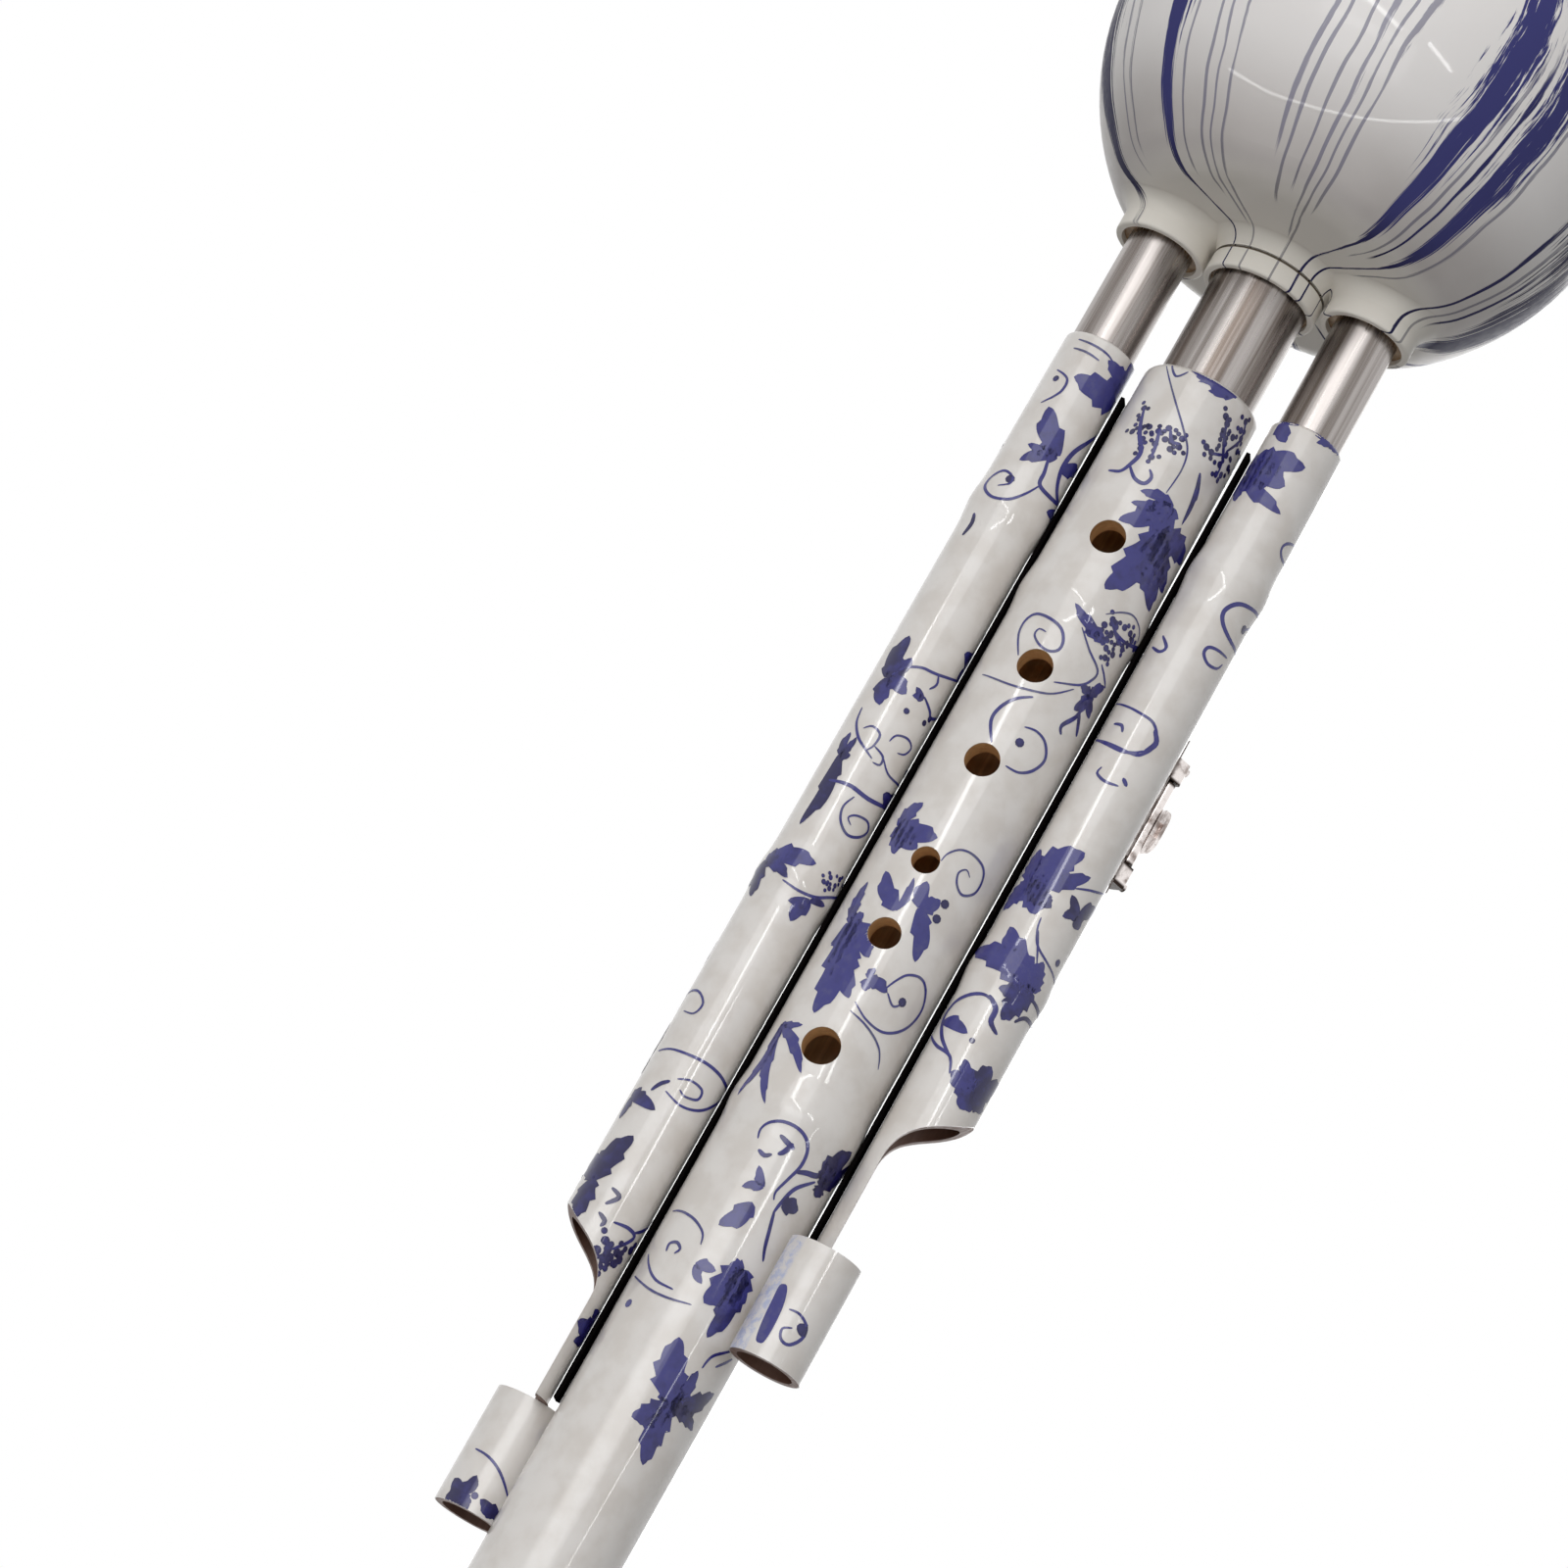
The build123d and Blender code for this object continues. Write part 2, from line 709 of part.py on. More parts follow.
with BuildPart() as mouthpiece:
    barrel_foot = mouthpiece_seat + shoulder_height
    tip_foot = mouthpiece_top - tip_round
    with BuildSketch(Plane.XZ):
        with BuildLine():
            Polyline(
                (mouthpiece_bore, mouthpiece_seat - tenon_length),
                (tenon_radius, mouthpiece_seat - tenon_length),
                (tenon_radius, mouthpiece_seat),
                (mouthpiece_shoulder, mouthpiece_seat),
                (mouthpiece_shoulder, barrel_foot - shoulder_round),
                (mouthpiece_shoulder - shoulder_round, barrel_foot),
            )
            Spline(
                (mouthpiece_shoulder - shoulder_round, barrel_foot),
                (mouthpiece_waist, (barrel_foot + tip_foot) / 2),
                (mouthpiece_tip, tip_foot),
                tangents=((-0.4, 1), (0, 1)),
            )
            CenterArc((mouthpiece_tip - tip_round, tip_foot), tip_round, 0, 90)
            Polyline(
                (mouthpiece_tip - tip_round, mouthpiece_top),
                (mouthpiece_bore, mouthpiece_top),
                (mouthpiece_bore, mouthpiece_seat - tenon_length),
            )
        make_face()
    revolve(axis=Axis.Z)
save(mouthpiece, "mouthpiece")


# Key: its base, posts, rod and screws stand still on the right drone

film_seat = drone_radius + glue_gap
plate_top_radius = film_seat + key_plate_thickness


def key_plane(height, angle=key_angle):
    """Return the level plane at the hinge axis, x away from the drone at the angle."""
    return Plane(origin=hinge_point + Vector(0, 0, height), x_dir=direction(angle), z_dir=(0, 0, 1))


with BuildPart() as key_base:
    plate_start = key_angle - key_plate_reach
    plate_end = key_angle + key_plate_reach
    plate_foot = post_heights[0] - post_length / 2 - key_plate_margin
    plate_length = 2 * (post_centre_rise + post_length / 2 + key_plate_margin)
    with BuildSketch(Plane.XY.offset(plate_foot)):
        with BuildLine():
            axis_point = Vector(right_x, 0, 0)
            CenterArc((right_x, 0), film_seat, plate_start, 2 * key_plate_reach)
            CenterArc((right_x, 0), plate_top_radius, plate_start, 2 * key_plate_reach)
            for angle in (plate_start, plate_end):
                inner = axis_point + film_seat * direction(angle)
                outer = axis_point + plate_top_radius * direction(angle)
                Line(inner, outer)
        make_face()
    extrude(amount=plate_length)
    for height in post_heights:
        reach = plate_top_radius + cut_margin
        cut_radial_hole(right_x, key_angle, height, post_stem_radius + glue_gap, reach)
save(key_base, "key_base")


def spring_place():
    """Return the needle spring's place in the hinge plane at rest."""
    turn = radians(open_angle)
    return spring_offset * sin(turn), spring_offset * cos(turn)


screw_rise = post_centre_rise + post_length / 2 - set_screw_radius - set_screw_inset
screw_heights = (key_height - screw_rise, key_height + screw_rise)


def make_post(name, height, screw_height, inward):
    """Make one key post, with its stem in the drone and its holes for rod, screw and spring."""
    post_foot = height - post_length / 2
    root = key_radius - plate_top_radius
    with BuildPart() as post:
        with BuildSketch(key_plane(post_foot)):
            with BuildLine():
                Polyline(
                    (-root - cut_margin, -post_front),
                    (post_crown, -post_front),
                    (post_crown, post_back),
                    (-root - cut_margin, post_back),
                    close=True,
                )
            make_face()
            fillet(vertices().group_by(Axis.X)[-1], radius=post_round)
        extrude(amount=post_length)
        with BuildSketch(Plane.XY.offset(post_foot)):
            with Locations((right_x, 0)):
                Circle(plate_top_radius + glue_gap)
        extrude(amount=post_length, mode=Mode.SUBTRACT)
        stem_start = Vector(right_x, 0, height) + (drone_radius - post_stem_length) * direction(key_angle)
        with BuildSketch(Plane(origin=stem_start, z_dir=direction(key_angle))):
            Circle(post_stem_radius)
        extrude(amount=post_stem_length + key_plate_thickness + cut_margin)
        rod_mouth = height + inward * post_length / 2
        with BuildSketch(key_plane(rod_mouth)):
            Circle(rod_radius + glue_gap)
            with Locations(spring_place()):
                Circle(spring_radius + glue_gap)
        extrude(amount=-inward * rod_seat, mode=Mode.SUBTRACT)
        screw_start = hinge_point + Vector(0, 0, screw_height)
        with BuildSketch(Plane(origin=screw_start, z_dir=direction(key_angle))):
            Circle(set_screw_radius + glue_gap)
        extrude(amount=post_crown + cut_margin, mode=Mode.SUBTRACT)
    save(post, name)


make_post("lower_key_post", post_heights[0], screw_heights[0], 1)
make_post("upper_key_post", post_heights[1], screw_heights[1], -1)

with BuildPart() as key_rod:
    rod_half = barrel_length / 2 + post_gap + rod_seat - seat_gap
    with BuildSketch(key_plane(key_height - rod_half)):
        Circle(rod_radius)
    extrude(amount=2 * rod_half)
save(key_rod, "key_rod")

with BuildPart() as key_screws:
    for screw_height in screw_heights:
        screw_foot = hinge_point + Vector(0, 0, screw_height)
        with BuildSketch(Plane(origin=screw_foot, z_dir=direction(key_angle))):
            Circle(set_screw_radius)
        extrude(amount=post_crown + set_screw_stand)
        head_foot = screw_foot + (post_crown + glue_gap) * direction(key_angle)
        with BuildSketch(Plane(origin=head_foot, z_dir=direction(key_angle))):
            Circle(set_screw_head)
        extrude(amount=set_screw_stand)
save(key_screws, "key_screws")

with BuildPart() as key_spring:
    spring_foot = key_height - barrel_length / 2 - post_gap - rod_seat + seat_gap
    with BuildSketch(key_plane(spring_foot)):
        with Locations(spring_place()):
            Circle(spring_radius)
    extrude(amount=spring_reach + rod_seat)
save(key_spring, "key_spring")

with BuildPart() as tone_seat:
    with BuildSketch(Plane(origin=(right_x, 0, key_height), z_dir=direction(pad_angle))):
        Circle(seat_radius)
        Circle(tone_hole_radius, mode=Mode.SUBTRACT)
    extrude(amount=seat_height)
    with BuildSketch(Plane.XY.offset(key_height - 2 * seat_radius)):
        with Locations((right_x, 0)):
            Circle(film_seat)
    extrude(amount=4 * seat_radius, mode=Mode.SUBTRACT)
save(tone_seat, "tone_seat")


# Key lever, standing open: barrel, touch, cup and pad turn together about the rod

lever_angle = key_angle - open_angle
cup_angle = pad_angle - open_angle
across = direction(cup_angle + 90)
outward = direction(cup_angle)
pad_centre = hinge_point + pad_level * outward + pad_reach * across + Vector(0, 0, key_height)


def clear_barrel():
    """Cut the barrel's room out of a piece that is brazed to it."""
    with BuildSketch(key_plane(key_height - barrel_length / 2)) as room:
        Circle(barrel_radius + glue_gap)
    extrude(room.sketch, amount=barrel_length, mode=Mode.SUBTRACT)


with BuildPart() as key_barrel:
    hook_foot = key_height - barrel_length / 2 + spring_reach - 2 * hook_thickness
    with BuildSketch(key_plane(key_height - barrel_length / 2)):
        Circle(barrel_radius)
    extrude(amount=barrel_length)
    with BuildSketch(key_plane(hook_foot, lever_angle)):
        with Locations((0, spring_offset / 2)):
            Rectangle(2 * (hook_play + hook_wall), spring_offset + 2 * hook_wall)
    extrude(amount=hook_thickness)
    with BuildSketch(key_plane(hook_foot, lever_angle)):
        with Locations((hook_play / 2, spring_offset)):
            Rectangle(hook_play + 3 * spring_radius, 3 * spring_radius)
    extrude(amount=hook_thickness, mode=Mode.SUBTRACT)
    with BuildSketch(key_plane(key_height - barrel_length / 2)):
        Circle(rod_radius + running_gap)
    extrude(amount=barrel_length, mode=Mode.SUBTRACT)
save(key_barrel, "key_barrel")

with BuildPart() as key_touch:
    lever_out = direction(lever_angle)
    lever_across = direction(lever_angle + 90)
    touch_shift = (touch_back - touch_front) / 2
    touch_centre = hinge_point + touch_lift * lever_out + touch_shift * lever_across
    touch_origin = touch_centre + Vector(0, 0, key_height)
    with BuildSketch(Plane(origin=touch_origin, x_dir=(0, 0, 1), z_dir=lever_out)):
        RectangleRounded(touch_length, touch_front + touch_back, touch_corner)
    extrude(amount=touch_thickness)
    fillet(key_touch.faces().sort_by(Axis(origin=(0, 0, 0), direction=lever_out))[-1].edges(), touch_round)
    with BuildSketch(key_plane(key_height - arm_width / 2, lever_angle)):
        with Locations((touch_lift / 2, 0)):
            Rectangle(touch_lift, touch_rib)
    extrude(amount=arm_width)
    clear_barrel()
save(key_touch, "key_touch")

with BuildPart() as key_cup:
    roof_level = pad_level + pad_thickness + glue_gap
    roof_top = roof_level + cup_roof
    cup_radius = pad_radius + glue_gap + cup_wall
    cup_centre = pad_centre + (roof_level - pad_level - cup_lip) * outward
    with BuildSketch(Plane(origin=cup_centre, z_dir=outward)):
        Circle(cup_radius)
    extrude(amount=cup_lip + cup_roof)
    with BuildSketch(Plane(origin=cup_centre, z_dir=outward)):
        Circle(pad_radius + glue_gap)
    extrude(amount=cup_lip, mode=Mode.SUBTRACT)
    with BuildSketch(key_plane(key_height - arm_width / 2, cup_angle)):
        with BuildLine():
            Polyline(
                (-arm_root, barrel_radius),
                (barrel_radius - arm_bite, 0),
                (roof_top + cup_roof, pad_reach - cup_radius),
                (roof_top + cup_roof, pad_reach + arm_tip),
                (roof_top - cup_roof / 2, pad_reach + arm_tip),
                (roof_top - cup_roof / 2, pad_reach - cup_radius + arm_lap),
                close=True,
            )
        make_face()
    extrude(amount=arm_width)
    clear_barrel()
save(key_cup, "key_cup")

with BuildPart() as key_pad:
    with BuildSketch(Plane(origin=pad_centre, z_dir=outward)):
        Circle(pad_radius)
    extrude(amount=pad_thickness)
save(key_pad, "key_pad")

print(f"height {mouthpiece_top:.2f}, gourd top {gourd_top:.2f}")
print(f"hinge at {hinge_point.X:.3f}, {hinge_point.Y:.3f}, height {key_height:.2f}")
print(f"right ring centre {ring_centre(right_x)}, left ring centre {ring_centre(left_x)}")
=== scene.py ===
"""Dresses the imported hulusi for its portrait: film, ink, lacquer, metal, lamps and camera.

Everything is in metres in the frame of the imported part: +Z runs up the melody pipe,
-Y is out of the finger holes and +X is towards the drone with the key. Surface
drawings are laid out in degrees round a pipe and millimetres up it.
"""

from __future__ import annotations

import json
import logging
import math
from dataclasses import dataclass
from enum import Enum

import bpy
from mathutils import Matrix, Vector
from mathutils.bvhtree import BVHTree

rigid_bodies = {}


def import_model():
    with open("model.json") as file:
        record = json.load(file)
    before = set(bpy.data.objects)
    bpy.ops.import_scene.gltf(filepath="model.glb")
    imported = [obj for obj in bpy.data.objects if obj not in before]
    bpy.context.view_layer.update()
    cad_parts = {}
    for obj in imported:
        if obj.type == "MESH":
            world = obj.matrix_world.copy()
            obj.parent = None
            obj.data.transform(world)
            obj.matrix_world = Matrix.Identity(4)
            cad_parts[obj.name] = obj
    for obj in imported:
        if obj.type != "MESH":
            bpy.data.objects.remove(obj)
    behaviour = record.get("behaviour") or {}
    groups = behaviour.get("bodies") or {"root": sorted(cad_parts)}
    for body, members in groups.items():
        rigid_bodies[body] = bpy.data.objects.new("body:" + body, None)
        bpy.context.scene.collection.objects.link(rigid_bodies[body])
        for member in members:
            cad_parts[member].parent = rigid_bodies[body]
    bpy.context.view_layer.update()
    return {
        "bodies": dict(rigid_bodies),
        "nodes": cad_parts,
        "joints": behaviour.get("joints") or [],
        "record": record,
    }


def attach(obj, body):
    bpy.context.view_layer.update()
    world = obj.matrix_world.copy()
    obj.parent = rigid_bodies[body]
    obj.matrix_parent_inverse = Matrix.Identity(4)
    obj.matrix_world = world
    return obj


LOG = logging.getLogger("hulusi")
MM = 0.001
INK_DEPTH = "ink"

Colour = tuple[float, float, float, float]
Socket = bpy.types.NodeSocket
Point2 = tuple[float, float]
Range = tuple[float, float]


def tint(red: float, green: float, blue: float) -> Colour:
    """Returns an opaque linear colour.

    Args:
        red: Linear red, 0 to 1.
        green: Linear green, 0 to 1.
        blue: Linear blue, 0 to 1.

    Returns:
        The colour with an alpha of 1.
    """
    return (red, green, blue, 1.0)


class NodeTree:
    """The node tree of a material or a world, with short calls for the nodes that both use."""

    def __init__(self, tree: bpy.types.NodeTree) -> None:
        """Empties a node tree.

        Args:
            tree: The tree of the material or the world.
        """
        self.tree = tree
        self.tree.nodes.clear()

    def add(self, kind: str) -> bpy.types.Node:
        """Adds a node of one of Blender's kinds."""
        return self.tree.nodes.new(kind)

    def join(self, source: Socket, target: Socket) -> None:
        """Links one socket to another."""
        self.tree.links.new(source, target)

    def feed(self, socket: Socket, value: Socket | float | Colour) -> None:
        """Links a socket, or sets its value when a number or colour is given."""
        if isinstance(value, bpy.types.NodeSocket):
            self.join(value, socket)
        else:
            socket.default_value = value

    def math(
        self,
        operation: str,
        first: Socket | float,
        second: Socket | float = 0.0,
        third: Socket | float = 0.0,
    ) -> Socket:
        """Adds a Math node.

        Args:
            operation: Blender's name of the operation.
            first: The first operand.
            second: The second operand.
            third: The third operand, where the operation has one.

        Returns:
            The node's result.
        """
        node = self.add("ShaderNodeMath")
        node.operation = operation
        for socket, value in zip(node.inputs, (first, second, third)):
            self.feed(socket, value)
        return node.outputs[0]

    def spread(
        self,
        value: Socket,
        low: float,
        high: float,
        start: float = 0.0,
        end: float = 1.0,
        smooth: bool = True,
    ) -> Socket:
        """Maps a value from one range to another and holds it there.

        Args:
            value: The value to map.
            low: The value that gives start.
            high: The value that gives end.
            start: The result at low.
            end: The result at high.
            smooth: Whether the result eases in and out.

        Returns:
            The mapped value.
        """
        node = self.add("ShaderNodeMapRange")
        node.interpolation_type = "SMOOTHSTEP" if smooth else "LINEAR"
        limits = {"From Min": low, "From Max": high, "To Min": start, "To Max": end}
        for key, number in limits.items():
            node.inputs[key].default_value = number
        self.join(value, node.inputs["Value"])
        return node.outputs["Result"]

    def shown(self) -> Socket:
        """Returns 1 for a ray from the camera, off gloss or through glass, and 0 for light."""
        path = self.add("ShaderNodeLightPath")
        seen = self.math("MAXIMUM", path.outputs["Is Camera Ray"], path.outputs["Is Glossy Ray"])
        return self.math("MAXIMUM", seen, path.outputs["Is Transmission Ray"])


class NodeSheet(NodeTree):
    """A material's node tree, with short calls for the nodes that the finishes share."""

    def __init__(self, name: str) -> None:
        """Starts an empty material with a shader and an output.

        Args:
            name: The material's name.
        """
        self.material = bpy.data.materials.new(name)
        self.material.use_nodes = True
        super().__init__(self.material.node_tree)
        output = self.add("ShaderNodeOutputMaterial")
        self.shader = self.add("ShaderNodeBsdfPrincipled")
        self.join(self.shader.outputs["BSDF"], output.inputs["Surface"])
        self.place = self.add("ShaderNodeTexCoord").outputs["Object"]

    def axes(self) -> tuple[Socket, Socket, Socket]:
        """Returns a point's place across, along and up, in metres of the part's frame."""
        node = self.add("ShaderNodeSeparateXYZ")
        self.join(self.place, node.inputs[0])
        return node.outputs[0], node.outputs[1], node.outputs[2]

    def reach(self, across: Socket, along: Socket) -> Socket:
        """Returns the distance from an upright axis, given it across and along."""
        square = self.math("MULTIPLY", along, along)
        return self.math("SQRT", self.math("MULTIPLY_ADD", across, across, square))

    def apart(self, value: Socket, middle: float) -> Socket:
        """Returns how far a value is from a middle, on either side."""
        return self.math("ABSOLUTE", self.math("SUBTRACT", value, middle))

    def stretched(self, scale: tuple[float, float, float]) -> Socket:
        """Returns the object coordinates scaled along each axis."""
        node = self.add("ShaderNodeMapping")
        node.inputs["Scale"].default_value = scale
        self.join(self.place, node.inputs["Vector"])
        return node.outputs["Vector"]

    def noise(
        self,
        scale: float,
        detail: float = 3.0,
        vector: Socket | None = None,
        roughness: float = 0.5,
    ) -> Socket:
        """Adds a noise texture.

        Args:
            scale: Lumps per metre of the coordinates.
            detail: Octaves of finer lumps.
            vector: The coordinates, or None for the object's own.
            roughness: How strong the finer lumps are.

        Returns:
            The noise value, about 0.5 on average.
        """
        node = self.add("ShaderNodeTexNoise")
        node.inputs["Scale"].default_value = scale
        node.inputs["Detail"].default_value = detail
        node.inputs["Roughness"].default_value = roughness
        self.join(vector or self.place, node.inputs["Vector"])
        return node.outputs["Fac"]

    def blend(
        self,
        share: Socket | float,
        first: Socket | Colour,
        second: Socket | Colour,
        mode: str = "MIX",
    ) -> Socket:
        """Mixes two colours.

        Args:
            share: How much of the second colour, 0 to 1.
            first: The colour at 0.
            second: The colour at 1, or what it is multiplied by.
            mode: MIX or MULTIPLY.

        Returns:
            The mixed colour.
        """
        node = self.add("ShaderNodeMix")
        node.data_type = "RGBA"
        node.blend_type = mode
        self.feed(node.inputs[0], share)
        self.feed(node.inputs[6], first)
        self.feed(node.inputs[7], second)
        return node.outputs[2]

    def paint(self, colour: Socket) -> None:
        """Gives the shader its colour."""
        self.join(colour, self.shader.inputs["Base Color"])

    def gloss(self, grain: Socket, smoothest: float, roughest: float) -> None:
        """Lets the roughness follow a grain, from the smoothest to the roughest."""
        rough = self.spread(grain, 0.3, 0.7, smoothest, roughest)
        self.join(rough, self.shader.inputs["Roughness"])

    def bump(self, height: Socket, distance: float, strength: float = 1.0) -> None:
        """Dents the shader's surface by a height.

        Args:
            height: The height, as a share of the distance.
            distance: The full height in metres.
            strength: The share of the effect that is kept.
        """
        node = self.add("ShaderNodeBump")
        node.inputs["Strength"].default_value = strength
        node.inputs["Distance"].default_value = distance
        self.join(height, node.inputs["Height"])
        self.join(node.outputs["Normal"], self.shader.inputs["Normal"])

    def constants(self, **values: float) -> None:
        """Sets plain numbers on the shader's own sockets, by name with spaces as underscores."""
        for key, value in values.items():
            self.shader.inputs[key.replace("_", " ")].default_value = value


@dataclass(frozen=True)
class FilmFinish:
    """Glossy shrink film in warm white, with the faint unevenness of the bamboo under it.

    Attributes:
        name: The slot's name.
        pale: The film where it is brightest.
        warm: The film's duller patches.
        overlap: The blue where the right ring's film lies double.
        mottle: Patches to the metre.
        grain: Specks to the metre.
        swell: Swellings to the metre, longer along the pipe.
        relief: The height of the swellings in metres.
        gloss: The roughness, smoothest and roughest.
        band: The ranges across, along and up where the film lies double, in metres.
        near_blur: Half the blur at the lower end of each range, in metres.
        far_blur: Half the blur at the upper end of each range, in metres.
        blotch: Blotches of the blue to the metre.
        blotch_cover: How much blue there is between the blotches and in them.
    """

    name: str = "printed_film"
    pale: Colour = tint(0.72, 0.69, 0.66)
    warm: Colour = tint(0.64, 0.60, 0.56)
    overlap: Colour = tint(0.30, 0.36, 0.60)
    mottle: float = 160.0
    grain: float = 900.0
    swell: float = 90.0
    relief: float = 0.0002
    gloss: Range = (0.32, 0.42)
    band: tuple[Range, ...] = ((0.0100, 0.0147), (-0.0200, -0.0075), (0.0640, 0.0868))
    near_blur: float = 0.0002
    far_blur: float = 0.0004
    blotch: float = 620.0
    blotch_cover: Range = (0.12, 0.75)

    def material(self) -> bpy.types.Material:
        """Builds the film's material."""
        sheet = NodeSheet(self.name)
        patches = sheet.noise(self.mottle, detail=4.0)
        colour = sheet.blend(sheet.spread(patches, 0.35, 0.68), self.pale, self.warm)
        sheet.paint(sheet.blend(self._overlap(sheet), colour, self.overlap))
        fine = sheet.noise(self.grain, detail=2.0)
        sheet.gloss(fine, *self.gloss)
        swell = sheet.noise(self.swell, 2.0, sheet.stretched((1.0, 1.0, 0.35)))
        height = sheet.math("MULTIPLY_ADD", fine, 0.08, swell)
        sheet.bump(height, self.relief, strength=0.3)
        sheet.constants(IOR=1.45, Coat_Weight=0.9, Coat_Roughness=0.06)
        return sheet.material

    def _overlap(self, sheet: NodeSheet) -> Socket:
        """Works out where the right ring's film overlaps itself and looks mottled blue.

        Args:
            sheet: The material being built.

        Returns:
            The share of blue, 0 to 1.
        """
        blotches = sheet.noise(self.blotch, detail=5.0, roughness=0.7)
        share = sheet.spread(blotches, 0.40, 0.62, *self.blotch_cover)
        for place, (low, high) in zip(sheet.axes(), self.band):
            start = sheet.spread(place, low - self.near_blur, low + self.near_blur)
            share = sheet.math("MULTIPLY", share, start)
            end = sheet.spread(place, high - self.far_blur, high + self.far_blur, 1.0, 0.0)
            share = sheet.math("MULTIPLY", share, end)
        return share


@dataclass(frozen=True)
class InkFinish:
    """Cobalt print on the film, from pale line blue over cobalt to dark indigo.

    Attributes:
        name: The material's name.
        line: The ink at a depth of 0.
        cobalt: The ink at a depth of 0.5.
        indigo: The ink at a depth of 1.
        wash: Uneven patches to the metre.
        uneven: How much the patches change the depth.
        grain: Specks to the metre.
        relief: The height of the specks in metres.
        gloss: The roughness, smoothest and roughest.
    """

    name: str = "cobalt_ink"
    line: Colour = tint(0.105, 0.105, 0.190)
    cobalt: Colour = tint(0.034, 0.033, 0.20)
    indigo: Colour = tint(0.012, 0.009, 0.070)
    wash: float = 420.0
    uneven: float = 0.3
    grain: float = 900.0
    relief: float = 0.00002
    gloss: Range = (0.32, 0.42)

    def material(self) -> bpy.types.Material:
        """Builds the ink's material, which reads its depth from the print's own attribute."""
        sheet = NodeSheet(self.name)
        depth = sheet.add("ShaderNodeAttribute")
        depth.attribute_name = INK_DEPTH
        wash = sheet.spread(sheet.noise(self.wash), 0.3, 0.7)
        uneven = sheet.math("MULTIPLY_ADD", wash, self.uneven, depth.outputs["Fac"])
        settled = sheet.math("SUBTRACT", uneven, self.uneven / 2)
        light = sheet.blend(sheet.spread(settled, 0.0, 0.5), self.line, self.cobalt)
        sheet.paint(sheet.blend(sheet.spread(settled, 0.5, 1.0), light, self.indigo))
        fine = sheet.noise(self.grain, detail=2.0)
        sheet.gloss(fine, *self.gloss)
        sheet.bump(fine, self.relief, strength=0.4)
        sheet.constants(IOR=1.45, Specular_IOR_Level=0.12, Coat_Weight=0.9, Coat_Roughness=0.06)
        return sheet.material


@dataclass(frozen=True)
class BrushMark:
    """One brushed streak that runs down the gourd and narrows towards its base.

    Attributes:
        angle: Where it runs, in degrees round the gourd.
        width: Its half width in metres at the widest part of the gourd.
        depth: How dark the brush is, 0 for a wet wash and 1 for a dark line.
        start: The height in metres where it fades out.
        foot: The distance from the axis in metres where it ends, 0 to run over the collars.
    """

    angle: float
    width: float
    depth: float
    start: float
    foot: float = 0.0


@dataclass(frozen=True)
class BrushPoint:
    """What the brushed streaks need to know about a point of the gourd.

    Attributes:
        turn: Its angle round the gourd in radians, wandering a little.
        reach: Its distance from the gourd's axis in metres.
        height: Its height in metres.
        growth: How far the streaks have widened there, about 1 at the widest part.
        bristle: The noise of the bristles, combed along the streaks.
    """

    turn: Socket
    reach: Socket
    height: Socket
    growth: Socket
    bristle: Socket


